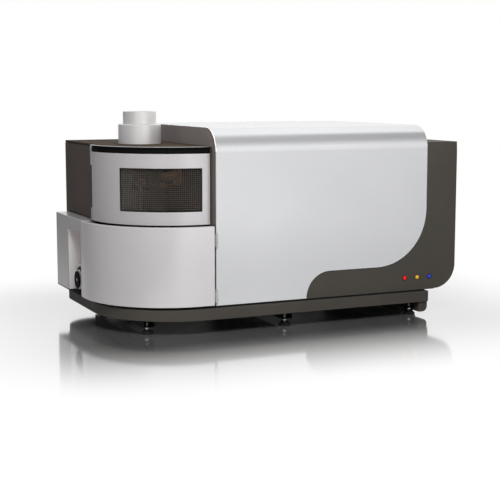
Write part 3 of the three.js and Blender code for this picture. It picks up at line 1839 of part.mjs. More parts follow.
function buildServicePorts() {
  const places = fittingPlaces();
  const back = rearInside - fitGap;
  const half = portsBlockHeight / 2;
  const body = block(
    [places[0] - half, back - portsBlockThickness, portsZ - half],
    [places[places.length - 1] + half, back, portsZ + half],
  );
  const spigots = places.map((x) => {
    const nose = cabinetDepth + fittingLength;
    const neck = bar(fittingRadius, 'y', back - portsBlockThickness / 2, nose - fittingLength / 2, [
      x,
      portsZ,
    ]);
    const barb = bar(fittingRadius * 2 / 3, 'y', cabinetDepth, nose, [x, portsZ]);
    return join(neck, barb);
  });
  const bores = places.map((x) =>
    bar(
      fittingBore,
      'y',
      back - portsBlockThickness - overrun,
      cabinetDepth + fittingLength + overrun,
      [x, portsZ],
    ),
  );
  return named('service_ports', cut(join(body, ...spigots), ...bores), brightSteel);
}

function buildSpectrometer() {
  const model = new THREE.Group();
  const base = new THREE.Group();
  base.add(buildPlinth(), ...footRows().map(buildBearer), ...buildFeet());
  const cabinet = new THREE.Group();
  cabinet.add(buildFloor(), buildFrontPanel(), buildRightPanel(), buildTopPanel());
  cabinet.add(buildRearPanel(), buildCheek(), buildCover(), buildCoverEnd());
  const tower = new THREE.Group();
  tower.add(buildTowerTop(), buildTowerBand(), buildTowerSide(), buildBayWall(), buildShelf());
  tower.add(buildSideBox(), buildRecess(), buildExhaust());
  const windowDoor = new THREE.Group();
  windowDoor.add(buildWindowDoor(), buildWindowGlass(), buildWindowScreen());
  const hinges = new THREE.Group();
  hinges.add(...windowHingeSpans().map(buildWindowHinge), ...lowerHingeSpans().map(buildLowerHinge));
  const plasma = new THREE.Group();
  plasma.add(buildTorch(), buildTorchMount(), buildLoadCoil(), buildCoilMount(), buildInterface());
  plasma.add(buildSprayChamber(), buildNebulizer());
  const pump = new THREE.Group();
  pump.add(buildPumpBody(), buildPumpRotor(), buildPumpClamp(), buildPumpTube());
  const controls = new THREE.Group();
  const [redX, yellowX, blueX] = buttonPlaces();
  controls.add(buildButtonCarrier(), buildButton('button_red', redX, buttonRed));
  controls.add(buildButton('button_yellow', yellowX, buttonYellow));
  controls.add(buildButton('button_blue', blueX, buttonBlue));
  const inside = new THREE.Group();
  inside.add(buildOpticalChamber(), buildDetector(), buildGenerator(), buildPowerSupply());
  inside.add(buildControlBoard());
  const rear = new THREE.Group();
  rear.add(buildFanHousing(), buildFanRotor(), buildMainsInlet(), buildMainsSwitch());
  rear.add(buildServicePorts());
  model.add(base, cabinet, tower, windowDoor, buildLowerDoor(), hinges);
  model.add(plasma, pump, controls, inside, rear);
  return model;
}

// The origin goes to the middle of the footprint, on the bench
const spectrometer = buildSpectrometer();
const bounds = new THREE.Box3().setFromObject(spectrometer, true);
const centre = bounds.getCenter(new THREE.Vector3());
spectrometer.position.set(-centre.x, -centre.y, -benchLevel);
spectrometer.updateMatrixWorld(true);

export default spectrometer;
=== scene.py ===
import math

import bmesh
import bpy
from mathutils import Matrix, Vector


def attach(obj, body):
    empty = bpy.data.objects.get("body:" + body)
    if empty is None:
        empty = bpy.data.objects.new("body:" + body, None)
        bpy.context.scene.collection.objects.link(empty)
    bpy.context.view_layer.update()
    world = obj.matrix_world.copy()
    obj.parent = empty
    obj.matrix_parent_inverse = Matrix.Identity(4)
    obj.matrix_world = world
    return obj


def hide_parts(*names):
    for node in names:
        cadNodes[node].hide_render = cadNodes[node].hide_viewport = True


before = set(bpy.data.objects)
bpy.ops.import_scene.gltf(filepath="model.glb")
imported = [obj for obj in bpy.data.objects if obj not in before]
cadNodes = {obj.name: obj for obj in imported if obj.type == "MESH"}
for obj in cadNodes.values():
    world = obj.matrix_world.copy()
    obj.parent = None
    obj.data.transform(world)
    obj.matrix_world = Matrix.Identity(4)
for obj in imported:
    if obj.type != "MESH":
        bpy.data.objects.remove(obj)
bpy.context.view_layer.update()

print("frame loaded:", len(cadNodes), "nodes")


# places and selection

# the scene's origin in drawing millimetres: x is counted from the cover's left edge,
# y from the front panel, z from under the cabinet
sceneOrigin = (310, 376, -100)
beyond = 20  # how far a cutter reaches past what it cuts
weld = 1e-6  # vertices nearer than this are one, in metres
straight = 0.9  # a face looks along an axis when its normal reaches this


def at(x, y, z):
    return Vector([value - zero for value, zero in zip((x, y, z), sceneOrigin)]) / 1000


def mm(length):
    return length / 1000


def pick(piece):
    bpy.ops.object.select_all(action="DESELECT")
    piece.select_set(True)
    bpy.context.view_layer.objects.active = piece


# edit mode with all of the piece selected
def openEdit(piece, kind="VERT", action="SELECT"):
    pick(piece)
    bpy.ops.object.mode_set(mode="EDIT")
    bpy.ops.mesh.select_mode(type=kind)
    bpy.ops.mesh.select_all(action=action)


# edit mode with only those edges or faces selected that pass the test
def openWhere(piece, kind, test):
    openEdit(piece, kind, "DESELECT")
    mesh = bmesh.from_edit_mesh(piece.data)
    for item in mesh.edges if kind == "EDGE" else mesh.faces:
        if test(item):
            item.select_set(True)
    bmesh.update_edit_mesh(piece.data)


def closeEdit():
    bpy.ops.object.mode_set(mode="OBJECT")


# merges doubles and turns the faces outwards before edit mode ends
def closeClean():
    bpy.ops.mesh.select_all(action="SELECT")
    bpy.ops.mesh.remove_doubles(threshold=weld)
    bpy.ops.mesh.normals_make_consistent(inside=False)
    closeEdit()


# true for an edge or face that lies at the given drawing places
def onPlace(x=None, y=None, z=None):
    want = at(x or 0, y or 0, z or 0)
    axes = [axis for axis, value in enumerate((x, y, z)) if value is not None]
    return lambda item: all(
        abs(vertex.co[axis] - want[axis]) < mm(0.1) for vertex in item.verts for axis in axes
    )


# points of an arc, its angles in degrees
def arc(centre, radius, start, end, steps):
    turns = [math.radians(start + (end - start) * step / steps) for step in range(steps + 1)]
    return [(centre[0] + radius * math.cos(turn), centre[1] + radius * math.sin(turn)) for turn in turns]


# modelling steps

# names the new piece and puts its transform into its mesh
def settle(name):
    piece = bpy.context.object
    piece.name = name
    pick(piece)
    bpy.ops.object.transform_apply()
    return piece


def addBox(name, low, high):
    low, high = at(*low), at(*high)
    bpy.ops.mesh.primitive_cube_add(size=1, location=(low + high) / 2)
    bpy.context.object.scale = high - low
    return settle(name)


# round bar between two drawing points
def addRod(name, radius, start, end, sides=32):
    start, end = at(*start), at(*end)
    along = end - start
    bpy.ops.mesh.primitive_cylinder_add(
        vertices=sides, radius=mm(radius), depth=along.length,
        location=(start + end) / 2, rotation=along.to_track_quat("Z", "Y").to_euler(),
    )
    return settle(name)


def extrude(move):
    bpy.ops.mesh.extrude_region_move(TRANSFORM_OT_translate={"value": move})


# a chain of vertices, drawn one after the other and left open in edit mode, all selected
def drawChain(name, points):
    bpy.ops.mesh.primitive_plane_add(size=mm(1), location=(0, 0, 0))
    piece = settle(name)
    openEdit(piece)
    bpy.ops.mesh.merge(type="CENTER")
    bpy.ops.transform.translate(value=points[0])
    for before, after in zip(points, points[1:]):
        extrude(after - before)
    bpy.ops.mesh.select_all(action="SELECT")
    return piece


# flat plate with any plan outline
def addPlate(name, outline, bottom, top):
    piece = drawChain(name, [at(x, y, bottom) for x, y in outline])
    bpy.ops.mesh.edge_face_add()
    extrude((0, 0, mm(top - bottom)))
    closeClean()
    return piece


def spin(centre, axis, angle, steps):
    bpy.ops.mesh.spin(steps=steps, angle=angle, center=centre, axis=axis)
    closeClean()


# turned piece: the profile is (radius, distance along the axis) from the centre point
def addTurned(name, centre, profile, axis="Z", steps=64, closed=False):
    middle = at(*centre)
    along = Vector([float(axis == word) for word in "XYZ"])
    outwards = Vector((0, 1, 0) if axis == "X" else (1, 0, 0))
    points = [middle + outwards * mm(radius) + along * mm(height) for radius, height in profile]
    piece = drawChain(name, points + points[:1] if closed else points)
    spin(middle, along, math.tau, steps)
    return piece


# block of a ring between two angles, in the plan view
def addSector(name, centre, outer, inner, start, end, bottom, top, steps):
    x, y = arc(centre, (outer + inner) / 2, start, end, 1)[0]
    bpy.ops.mesh.primitive_plane_add(
        size=1, location=at(x, y, (bottom + top) / 2), rotation=(math.pi / 2, 0, math.radians(start))
    )
    bpy.context.object.scale = (mm(outer - inner), mm(top - bottom), 1)
    piece = settle(name)
    openEdit(piece, "FACE")
    spin(at(*centre, 0), (0, 0, 1), -math.radians(end - start), steps)
    return piece


# smooth tube through drawing points
def addTube(name, points, radius, sides=3):
    curve = bpy.data.curves.new(name, "CURVE")
    curve.dimensions = "3D"
    curve.bevel_depth = mm(radius)
    curve.bevel_resolution = sides
    curve.use_fill_caps = True
    curve.resolution_u = 3
    line = curve.splines.new("NURBS")
    line.points.add(len(points) - 1)
    for knot, point in zip(line.points, points):
        knot.co = (*at(*point), 1)
    line.order_u = 3
    line.use_endpoint_u = True
    piece = bpy.data.objects.new(name, curve)
    bpy.context.scene.collection.objects.link(piece)
    pick(piece)
    bpy.ops.object.convert(target="MESH")
    return bpy.context.object


def roundOff(piece, test, radius, segments):
    openWhere(piece, "EDGE", test)
    bpy.ops.mesh.bevel(offset=mm(radius), segments=segments, affect="EDGES", clamp_overlap=False)
    closeEdit()


def dropFaces(piece, test):
    openWhere(piece, "FACE", test)
    bpy.ops.mesh.delete(type="FACE")
    closeEdit()


# insets the chosen faces by a margin and moves the inner part along a vector
def insetAndMove(piece, test, margin, move):
    openWhere(piece, "FACE", test)
    bpy.ops.mesh.inset(thickness=mm(margin), depth=0)
    extrude(Vector(move) / 1000)
    closeEdit()


def cutPlane(piece, place, axis, **settings):
    openEdit(piece)
    bpy.ops.mesh.bisect(plane_co=place, plane_no=axis, **settings)
    closeEdit()


def applyModifier(piece, kind, **settings):
    pick(piece)
    modifier = piece.modifiers.new(kind.title(), kind)
    for key, value in settings.items():
        setattr(modifier, key, value)
    bpy.ops.object.modifier_apply(modifier=modifier.name)


def thicken(piece, thickness):
    applyModifier(piece, "SOLIDIFY", thickness=mm(thickness), offset=-1, use_even_offset=True)


def softenEdges(piece, width, segments=2, sharp=36):
    applyModifier(
        piece, "BEVEL", width=mm(width), segments=segments, limit_method="ANGLE",
        angle_limit=math.radians(sharp), use_clamp_overlap=True, miter_outer="MITER_ARC",
    )


def cutAway(piece, *cutters):
    for cutter in cutters:
        applyModifier(piece, "BOOLEAN", operation="DIFFERENCE", solver="EXACT", object=cutter)
        bpy.data.objects.remove(cutter)


def joinPieces(name, *parts):
    pick(parts[0])
    for part in parts[1:]:
        part.select_set(True)
    bpy.ops.object.join()
    parts[0].name = name
    return parts[0]


# separate copy with its own mesh, moved by drawing millimetres
def copyPiece(piece, move):
    pick(piece)
    bpy.ops.object.duplicate(linked=False)
    bpy.ops.transform.translate(value=Vector(move) / 1000)
    return settle("copy")


# CAD solid taken over: loose triangles merged back into flat faces
def takeSolid(name, node):
    piece = bpy.data.objects.new(name, cadNodes[node].data.copy())
    bpy.context.scene.collection.objects.link(piece)
    openEdit(piece)
    bpy.ops.mesh.remove_doubles(threshold=weld)
    bpy.ops.mesh.dissolve_limited(angle_limit=math.radians(0.4))
    closeEdit()
    return piece


def finishPiece(piece, finish, *replaced, body="chassis", slot=None, edge=0, segments=2, smooth=38):
    if edge:
        softenEdges(piece, edge, segments)
    pick(piece)
    bpy.ops.object.transform_apply()
    bpy.ops.object.shade_smooth_by_angle(angle=math.radians(smooth))
    applyModifier(piece, "WEIGHTED_NORMAL", keep_sharp=True)
    piece.data.materials.clear()
    piece.data.materials.append(finishes[finish])
    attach(piece, body)
    if replaced:
        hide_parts(*replaced)


def finishSolid(name, node, finish, edge, **settings):
    piece = takeSolid(name, node)
    finishPiece(piece, finish, node, edge=edge, **settings)
    return piece


# second finish on the chosen faces
def paintFaces(piece, finish, test):
    piece.data.materials.append(finishes[finish])
    openWhere(piece, "FACE", test)
    piece.active_material_index = len(piece.data.materials) - 1
    bpy.ops.object.material_slot_assign()
    closeEdit()


# shader nodes

# fills a node's sockets: what another node gives is linked, a number or colour is set
def feed(tree, node, inputs):
    for key, source in inputs.items():
        socket = node.inputs[key]
        if isinstance(source, bpy.types.NodeSocket):
            tree.links.new(source, socket)
        elif socket.type == "RGBA":
            socket.default_value = (*source, 1)
        else:
            socket.default_value = source


def addNode(tree, kind, inputs, output=0, **settings):
    node = tree.nodes.new("ShaderNode" + kind)
    for key, value in settings.items():
        setattr(node, key, value)
    feed(tree, node, inputs)
    return node.outputs[output]


def addMath(tree, operation, first, second):
    return addNode(tree, "Math", {0: first, 1: second}, operation=operation)


def addVector(tree, operation, first, second=(0, 0, 0), output="Vector"):
    return addNode(tree, "VectorMath", {0: first, 1: second}, output, operation=operation)


def objectPlace(tree, stretch=None):
    place = addNode(tree, "TexCoord", {}, "Object")
    return addNode(tree, "Mapping", {"Vector": place, "Scale": stretch}) if stretch else place


def addNoise(tree, place, scale, detail, distortion=0):
    inputs = {"Vector": place, "Scale": scale, "Detail": detail, "Distortion": distortion}
    return addNode(tree, "TexNoise", inputs, "Fac")


def addCells(tree, place, scale, output, **settings):
    return addNode(tree, "TexVoronoi", {"Vector": place, "Scale": scale}, output, **settings)


def addRange(tree, value, low, high, toLow, toHigh, kind="LINEAR"):
    inputs = dict(enumerate((value, low, high, toLow, toHigh)))
    return addNode(tree, "MapRange", inputs, interpolation_type=kind)


def mixColours(tree, amount, first, second, kind="MIX"):
    return addNode(tree, "Mix", {0: amount, 6: first, 7: second}, 2, data_type="RGBA", blend_type=kind)


# grey levels along a value from 0 to 1
def addRamp(tree, value, levels):
    ramp = tree.nodes.new("ShaderNodeValToRGB")
    stops = ramp.color_ramp.elements
    for stop, (place, level) in zip(stops, (levels[0], levels[-1])):
        stop.position, stop.color = place, (level, level, level, 1)
    for place, level in levels[1:-1]:
        stops.new(place).color = (level, level, level, 1)
    tree.links.new(value, ramp.inputs[0])
    return ramp.outputs[0]


# edge wear and painted highlight: bright where two faces meet, broken up by a fine noise
def edgeWearAndHighlightMask(tree, place, reach):
    rounded = addNode(tree, "Bevel", {"Radius": mm(reach)}, samples=4)
    flat = addNode(tree, "NewGeometry", {}, "Normal")
    edge = addRange(tree, addVector(tree, "DOT_PRODUCT", rounded, flat, "Value"), 0.8, 0.995, 1, 0)
    patches = addRange(tree, addNoise(tree, place, 90, 4), 0.35, 0.7, 0.25, 1)
    return addMath(tree, "MULTIPLY", edge, patches)


# the look's two colours in soft clouds, with a fine pattern over them
def cloudedColour(tree, look, cloudScale, pattern, low, high, depth):
    cloud = addRange(tree, addNoise(tree, objectPlace(tree), cloudScale, 4), 0.35, 0.65, 0, 1)
    colour = mixColours(tree, cloud, look["colour"], look["tint"])
    shade = addRange(tree, pattern, low, high, 1 - depth, 1 + depth)
    return mixColours(tree, 1, colour, shade, "MULTIPLY")


plainSockets = {
    "metal": "Metallic", "specular": "Specular IOR Level", "coat": "Coat Weight",
    "coatRough": "Coat Roughness", "inside": "Subsurface Weight", "insideScale": "Subsurface Scale",
    "ior": "IOR", "clear": "Transmission Weight", "alpha": "Alpha",
}


# colour, smudged roughness and grain, then the numbers that are the same all over
def dressShader(tree, look, colour, smudge, grain, smudgeRange=(0.3, 0.7)):
    rough, spread = look["rough"], look["roughSpread"]
    if spread:
        rough = addRange(tree, smudge, *smudgeRange, rough - spread, rough + spread)
    bump = {"Height": grain, "Strength": look["grainStrength"], "Distance": mm(look["grainDepth"])}
    feed(tree, tree.nodes["Principled BSDF"], {
        "Base Color": colour, "Roughness": rough, "Normal": addNode(tree, "Bump", bump),
        **{socket: look[word] for word, socket in plainSockets.items() if word in look},
    })


# sprayed or powder coated sheet metal
def painted(tree, look):
    place = objectPlace(tree)
    flakes = addCells(tree, place, 1000 / look["flake"], "Color")
    colour = cloudedColour(tree, look, 2.6, flakes, 0, 1, look["flakeDepth"])
    # edges take the look's edge colour: partly wear, partly a painted highlight along the edges
    if "wear" in look:
        colour = mixColours(tree, edgeWearAndHighlightMask(tree, place, look["wearReach"]), colour, look["wear"])
    smudge, grain = addNoise(tree, place, 5, 2), addNoise(tree, place, 1000 / look["grain"], 2)
    dressShader(tree, look, colour, smudge, grain)


# brushed or drawn metal: the grain runs where the stretch is small
def brushed(tree, look):
    streaks = addNoise(tree, objectPlace(tree, look["stretch"]), 1, 5)
    colour = cloudedColour(tree, look, 14, streaks, 0.3, 0.7, look["streak"])
    dressShader(tree, look, colour, streaks, streaks)


# moulded plastic, rubber, ceramic and fluoropolymer
def moulded(tree, look):
    place = objectPlace(tree)
    cloud = addNoise(tree, place, 22, 5, 0.4)
    colour = mixColours(tree, cloud, look["colour"], look["tint"])
    dressShader(tree, look, colour, cloud, addCells(tree, place, 1000 / look["grain"], "Distance"))


# clear quartz and the tinted safety pane
def glazed(tree, look):
    place = objectPlace(tree)
    film = addNoise(tree, place, 16, 5, 0.8)
    colour = mixColours(tree, film, look["colour"], look["tint"])
    dressShader(tree, look, colour, film, addNoise(tree, place, 60, 2), (0.35, 0.75))


# green solder mask with copper tracks under it
def tracked(tree, look):
    place = objectPlace(tree, (1, 1, 1.6))
    tracks = addCells(tree, place, 150, "Distance", feature="DISTANCE_TO_EDGE")
    line = addRange(tree, tracks, 0.03, 0.06, 1, 0)
    dressShader(tree, look, mixColours(tree, line, look["colour"], look["tint"]), None, line)


# finishes

silverLook = {
    "flake": 0.7, "flakeDepth": 0.04, "metal": 0.62, "rough": 0.19, "roughSpread": 0.015, "specular": 0.5,
    "grain": 1.6, "grainStrength": 0.03, "grainDepth": 0.02, "wear": (0.78, 0.78, 0.8), "wearReach": 1.2,
}
doorLook = {**silverLook, "metal": 0.45, "rough": 0.24, "specular": 0.35}
trayLook = {**silverLook, "metal": 0, "rough": 0.4}
darkLook = {
    "flake": 0.9, "flakeDepth": 0.16, "metal": 0, "rough": 0.58, "roughSpread": 0.04, "specular": 0.14,
    "grain": 0.9, "grainStrength": 0.3, "grainDepth": 0.08, "wear": (0.105, 0.1, 0.094), "wearReach": 1.6,
}
glossLook = {
    "flake": 1, "flakeDepth": 0.1, "metal": 0, "rough": 0.22, "roughSpread": 0.05, "specular": 0.01,
    "coat": 0.01, "coatRough": 0.1, "grain": 6, "grainStrength": 0.03, "grainDepth": 0.02,
}
stainlessLook = {
    "stretch": (8, 500, 700), "streak": 0.1, "metal": 0.85, "rough": 0.36, "roughSpread": 0.08,
    "grainStrength": 0.12, "grainDepth": 0.02,
}
castLook = {
    "stretch": (420, 420, 420), "streak": 0.08, "metal": 0.75, "rough": 0.52, "roughSpread": 0.08,
    "grainStrength": 0.4, "grainDepth": 0.15,
}
copperLook = {
    "stretch": (60, 60, 500), "streak": 0.1, "metal": 0.1, "rough": 0.28, "roughSpread": 0.1,
    "grainStrength": 0.08, "grainDepth": 0.02,
}
plasticLook = {
    "rough": 0.5, "roughSpread": 0.06, "specular": 0.12, "grain": 0.8, "grainStrength": 0.25,
    "grainDepth": 0.06,
}
ceramicLook = {**plasticLook, "rough": 0.45, "inside": 0.1, "insideScale": mm(4), "specular": 0.4}
capLook = {
    "rough": 0.22, "roughSpread": 0.06, "grain": 1.5, "grainStrength": 0.05, "grainDepth": 0.03,
    "coat": 0.12, "inside": 0.08, "insideScale": mm(4), "specular": 0.22,
}
glassLook = {
    "ior": 1.5, "clear": 0, "alpha": 0.12, "specular": 0.1, "grainStrength": 0.03, "grainDepth": 0.05,
}
boardLook = {"rough": 0.4, "roughSpread": 0, "grainStrength": 0.2, "grainDepth": 0.05}

finishes, slots = {}, {}


# a material from one look, its two colours and what differs from the look
def addFinish(name, slot, dress, look, colour, tint, **changes):
    finish = bpy.data.materials.new(name)
    finish.use_nodes = True
    dress(finish.node_tree, {**look, "colour": colour, "tint": tint, **changes})
    finishes[name], slots[name] = finish, slot


addFinish("silverPaint", "silver_paint", painted, silverLook, (0.7, 0.704, 0.718), (0.668, 0.672, 0.686))
addFinish("doorPaint", "door_paint", painted, doorLook, (0.66, 0.641, 0.65), (0.625, 0.605, 0.62))
addFinish("framePaint", "door_paint", painted, doorLook, (0.557, 0.538, 0.546), (0.525, 0.505, 0.515))
addFinish("boxPaint", "door_paint", painted, doorLook, (0.52, 0.505, 0.512), (0.49, 0.475, 0.485))
# pale matte paint on the stainless recess tray: painted reflection of the bright surroundings
addFinish("trayPaintedReflection", "stainless", painted, trayLook, (0.82, 0.775, 0.775), (0.72, 0.68, 0.68))
# near-white paint on the cover's edge bead along the bend: painted highlight
addFinish("beadPaintedHighlight", "silver_paint", painted, trayLook, (0.8, 0.8, 0.8), (0.77, 0.77, 0.77))
addFinish(
    "satinWhite", "satin_white", painted, silverLook, (0.86, 0.85, 0.84), (0.83, 0.82, 0.81),
    metal=0.75, rough=0.4, specular=0.35, wear=(0.8, 0.8, 0.8),
)
addFinish("darkPaint", "dark_paint", painted, darkLook, (0.0655, 0.0605, 0.051), (0.058, 0.053, 0.045))
addFinish("basePaint", "dark_paint", painted, darkLook, (0.058, 0.053, 0.046), (0.052, 0.047, 0.041))
addFinish(
    "sidePaint", "side_paint", painted, darkLook, (0.082, 0.067, 0.058), (0.072, 0.058, 0.05),
    rough=0.6, specular=0.08,
)
# paler copy of the dark side paint for the cheek and hood end plate above the roof: painted light
addFinish(
    "cheekPaintedLight", "dark_paint", painted, darkLook, (0.205, 0.18, 0.17), (0.19, 0.162, 0.157),
    rough=0.42, specular=0.3,
)
addFinish(
    "roofPaint", "roof_paint", painted, darkLook, (0.05, 0.036, 0.025), (0.043, 0.031, 0.022),
    rough=0.72, specular=0.04, wear=(0.07, 0.055, 0.04),
)
# black steel, also used as painted shadow on the base's step riser
addFinish(
    "blackSteelAndShade", "black_steel", painted, darkLook, (0.011, 0.011, 0.011), (0.008, 0.008, 0.008),
    specular=0.05, wear=(0.02, 0.02, 0.02),
)
addFinish("glossBlack", "gloss_black", painted, glossLook, (0.006, 0.006, 0.006), (0.004, 0.004, 0.004))
addFinish("stainlessSheet", "stainless", brushed, stainlessLook, (0.4, 0.37, 0.37), (0.36, 0.335, 0.335))
# darker, browner copy of the stainless sheet for the bay wall: painted shade for the dim bay behind the
# window
addFinish("bayMetalPaintedShade", "stainless", brushed, stainlessLook, (0.2, 0.165, 0.13), (0.17, 0.14, 0.11), metal=0.3)
addFinish(
    "brightSteel", "bright_steel", brushed, stainlessLook, (0.62, 0.62, 0.63), (0.55, 0.55, 0.56),
    stretch=(700, 700, 12), metal=0.9, rough=0.26,
)
addFinish("castMetal", "cast_aluminium", brushed, castLook, (0.42, 0.43, 0.44), (0.37, 0.38, 0.39))
addFinish("drumMetal", "cast_aluminium", brushed, castLook, (0.78, 0.76, 0.75), (0.7, 0.68, 0.67), metal=0.2)
addFinish(
    "screenWire", "stainless", brushed, castLook, (0.62, 0.57, 0.52), (0.55, 0.5, 0.46), metal=0.7, rough=0.4
)
addFinish("copperTube", "copper", brushed, copperLook, (0.98, 0.5, 0.16), (0.94, 0.42, 0.11))
addFinish("blackPlastic", "black_plastic", moulded, plasticLook, (0.012, 0.012, 0.013), (0.008, 0.008, 0.009))
addFinish(
    "knobPlastic", "black_plastic", moulded, plasticLook, (0.004, 0.004, 0.004), (0.002, 0.002, 0.002),
    specular=0.02,
)
addFinish(
    "footRubber", "black_rubber", moulded, plasticLook, (0.013, 0.013, 0.013), (0.02, 0.019, 0.018),
    rough=0.78, specular=0.1, grain=1.4, grainStrength=0.4,
)
addFinish("whiteCeramic", "ceramic", moulded, ceramicLook, (0.78, 0.75, 0.68), (0.72, 0.68, 0.6))
addFinish("darkCeramic", "ceramic", moulded, ceramicLook, (0.05, 0.045, 0.04), (0.04, 0.035, 0.03))
addFinish(
    "pumpTubing", "clear_tube", moulded, ceramicLook, (0.68, 0.62, 0.5), (0.6, 0.54, 0.42),
    rough=0.28, inside=0.25,
)
addFinish("redCap", "button_red", moulded, capLook, (0.95, 0.006, 0.01), (0.85, 0.004, 0.006))
addFinish("yellowCap", "button_yellow", moulded, capLook, (0.82, 0.42, 0.04), (0.75, 0.36, 0.03))
addFinish("blueCap", "button_blue", moulded, capLook, (0.022, 0.05, 0.6), (0.018, 0.04, 0.5))
addFinish(
    "tintedPane", "dark_glass", glazed, glassLook, (0.016, 0.012, 0.009), (0.022, 0.017, 0.012),
    rough=0.07, roughSpread=0.03,
)
addFinish(
    "quartzGlass", "quartz", glazed, glassLook, (0.93, 0.95, 0.96), (0.88, 0.91, 0.92),
    rough=0.045, roughSpread=0.025, ior=1.46, clear=0.9, alpha=0.55, specular=0.5,
)
addFinish("boardMask", "board_green", tracked, boardLook, (0.012, 0.085, 0.035), (0.03, 0.17, 0.06))
print("finishes made")


# cabinet: silver cover, dark panels and base

cover = {
    "low": (0, -3.3, 0), "high": (865, 744.3, 621.5), "bend": 85, "bendSteps": 28, "sheet": 3, "edge": 0.9,
    "footX": 357, "lowCurve": 96, "lowSteps": 28, "highCurve": 210, "highSides": 144, "lipZ": 509,
    "middleY": 370.5, "bead": 1.8, "beadFoot": 300, "beadPaintedHighlightBottom": 540,
}


def buildCover():
    right, rear, top = cover["high"]
    front, middle, bend, bead = cover["low"][1], cover["middleY"], cover["bend"], cover["bead"]
    shell = addBox("coverShell", cover["low"], cover["high"])
    roundOff(shell, onPlace(y=front, z=top), bend, cover["bendSteps"])
    dropFaces(shell, lambda face: abs(face.normal.x) > straight or face.normal.z < -straight)
    thicken(shell, cover["sheet"])
    behind = addBox("cutter", (-beyond, middle, -beyond), (right + beyond, rear + beyond, cover["lipZ"]))
    # the sweeping lower edge: a hollow curve, a level run and the big round corner
    low, high, ahead, around = cover["lowCurve"], cover["highCurve"], beyond * 1.5, beyond * 3
    foot = addBox("cutter", (cover["footX"], front - ahead, -around), (right + around, middle, low))
    roundOff(foot, onPlace(x=cover["footX"], z=low), low, cover["lowSteps"])
    x, z = right - high, low + high
    corner = addBox("cutter", (x, front - ahead, low - beyond / 4), (right + around, middle, z))
    drum = addRod("cutter", high, (x, front - around, z), (x, middle + ahead, z), cover["highSides"])
    cutAway(corner, drum)
    cutAway(shell, behind, foot, corner)
    finishPiece(shell, "silverPaint", "hood_cover", edge=cover["edge"])
    # bead along the left edge: near-white along the bend as a painted highlight, the cover's silver below
    line = [(rear - 2, top), (rear - 60, top), *arc((front + bend, top - bend), bend, 90, 180, 24)]
    line += [(front, cover["beadFoot"]), (front, 1)]
    edgeBead = addTube("coverEdgeBead", [(bead, y, z) for y, z in line], bead)
    finishPiece(edgeBead, "beadPaintedHighlight", smooth=60)
    highlightBottom = at(0, 0, cover["beadPaintedHighlightBottom"]).z
    paintFaces(edgeBead, "silverPaint", lambda face: face.calc_center_median().z < highlightBottom)


frontPanel = {
    "low": (0, 0, 0), "high": (1000, 40, 559), "corner": 90, "cornerSteps": 32, "sheet": 2.5, "fold": 1.5,
    "crownZ": 519, "crown": 2.2, "bore": 8.3, "coverEnd": 865.3,
}
endPanel = {"low": (910, 2.8, 0), "high": (1000, 738.2, 556.2), "edge": 0.5}
buttonPlaces = {"red": 777, "yellow": 831.5, "blue": 886, "z": 47}


# folded sheet: a box with its lower right corner rounded and its open sides dropped
def addPanel(name, box, openSide):
    sheet = addBox(name, box["low"], box["high"])
    roundOff(sheet, onPlace(x=box["high"][0], z=0), frontPanel["corner"], frontPanel["cornerSteps"])
    dropFaces(sheet, openSide)
    return sheet


def buildPanels():
    _, rear, top = frontPanel["high"]
    sheet = addPanel("frontPanelSheet", frontPanel, lambda face: (
        face.normal.y > -straight and face.normal.z < straight
    ))
    # the top of the face leans back a little
    cutPlane(sheet, at(0, 0, frontPanel["crownZ"]), (0, 0, 1))
    openWhere(sheet, "EDGE", onPlace(y=0, z=top))
    bpy.ops.transform.translate(value=(0, mm(frontPanel["crown"]), 0))
    closeEdit()
    thicken(sheet, frontPanel["sheet"])
    z = buttonPlaces["z"]
    for word in ("red", "yellow", "blue"):
        x = buttonPlaces[word]
        cutAway(sheet, addRod("cutter", frontPanel["bore"], (x, -beyond / 2, z), (x, beyond / 2, z), 48))
    low = (-beyond, -beyond, frontPanel["crownZ"] - beyond)
    cutAway(sheet, addBox("cutter", low, (frontPanel["coverEnd"], rear + beyond, top + beyond)))
    finishPiece(sheet, "darkPaint", "front_panel", edge=frontPanel["fold"], segments=3)

    sheet = addPanel("rightPanelSheet", endPanel, lambda face: (
        abs(face.normal.y) > straight or face.normal.x < -straight or face.normal.z > straight
    ))
    thicken(sheet, frontPanel["sheet"])
    finishPiece(sheet, "darkPaint", "right_panel", edge=endPanel["edge"])


plinth = {
    "low": (-356, -15, -46.7), "high": (881, 741, -8), "step": 14, "stepRise": 7.7, "sheet": 3, "edge": 1.2,
    # x, y, radius and steps of each round corner
    "corners": ((-356, -15, 316, 56), (881, -15, 18, 10), (-356, 741, 144, 32)),
}


def buildPlinth():
    bottom, top = plinth["low"][2], plinth["high"][2]
    base = addBox("baseSkirt", plinth["low"], plinth["high"])
    for x, y, radius, steps in plinth["corners"]:
        roundOff(base, onPlace(x=x, y=y), radius, steps)
    insetAndMove(base, onPlace(z=top), plinth["step"], (0, 0, plinth["stepRise"]))
    insetAndMove(base, onPlace(z=bottom), plinth["sheet"], (0, 0, top - bottom - plinth["sheet"]))
    finishPiece(base, "basePaint", "base_plinth", edge=plinth["edge"], segments=3)
    # the riser of the step under the body is painted black: painted shadow in the gap between base and body
    shadowGapBottom = at(0, 0, top + 0.7).z
    paintFaces(base, "blackSteelAndShade", lambda face: (
        face.calc_center_median().z > shadowGapBottom and abs(face.normal.z) < 0.6
    ))


# folded duct under the right end; its horn reaches forward beside the front foot
duct = {
    "body": ((800.5, 70, -96), (873, 671, -46.9)), "horn": ((836, -8, -86), (873, 74, -46.9)),
    "curve": 20, "curveSteps": 12, "edge": 1,
}


def buildDuct():
    parts = []
    for low, high in (duct["body"], duct["horn"]):
        fold = addBox("fold", low, high)
        roundOff(fold, onPlace(x=high[0], z=low[2]), duct["curve"], duct["curveSteps"])
        softenEdges(fold, duct["edge"])
        parts.append(fold)
    finishPiece(joinPieces("underDuct", *parts), "basePaint")


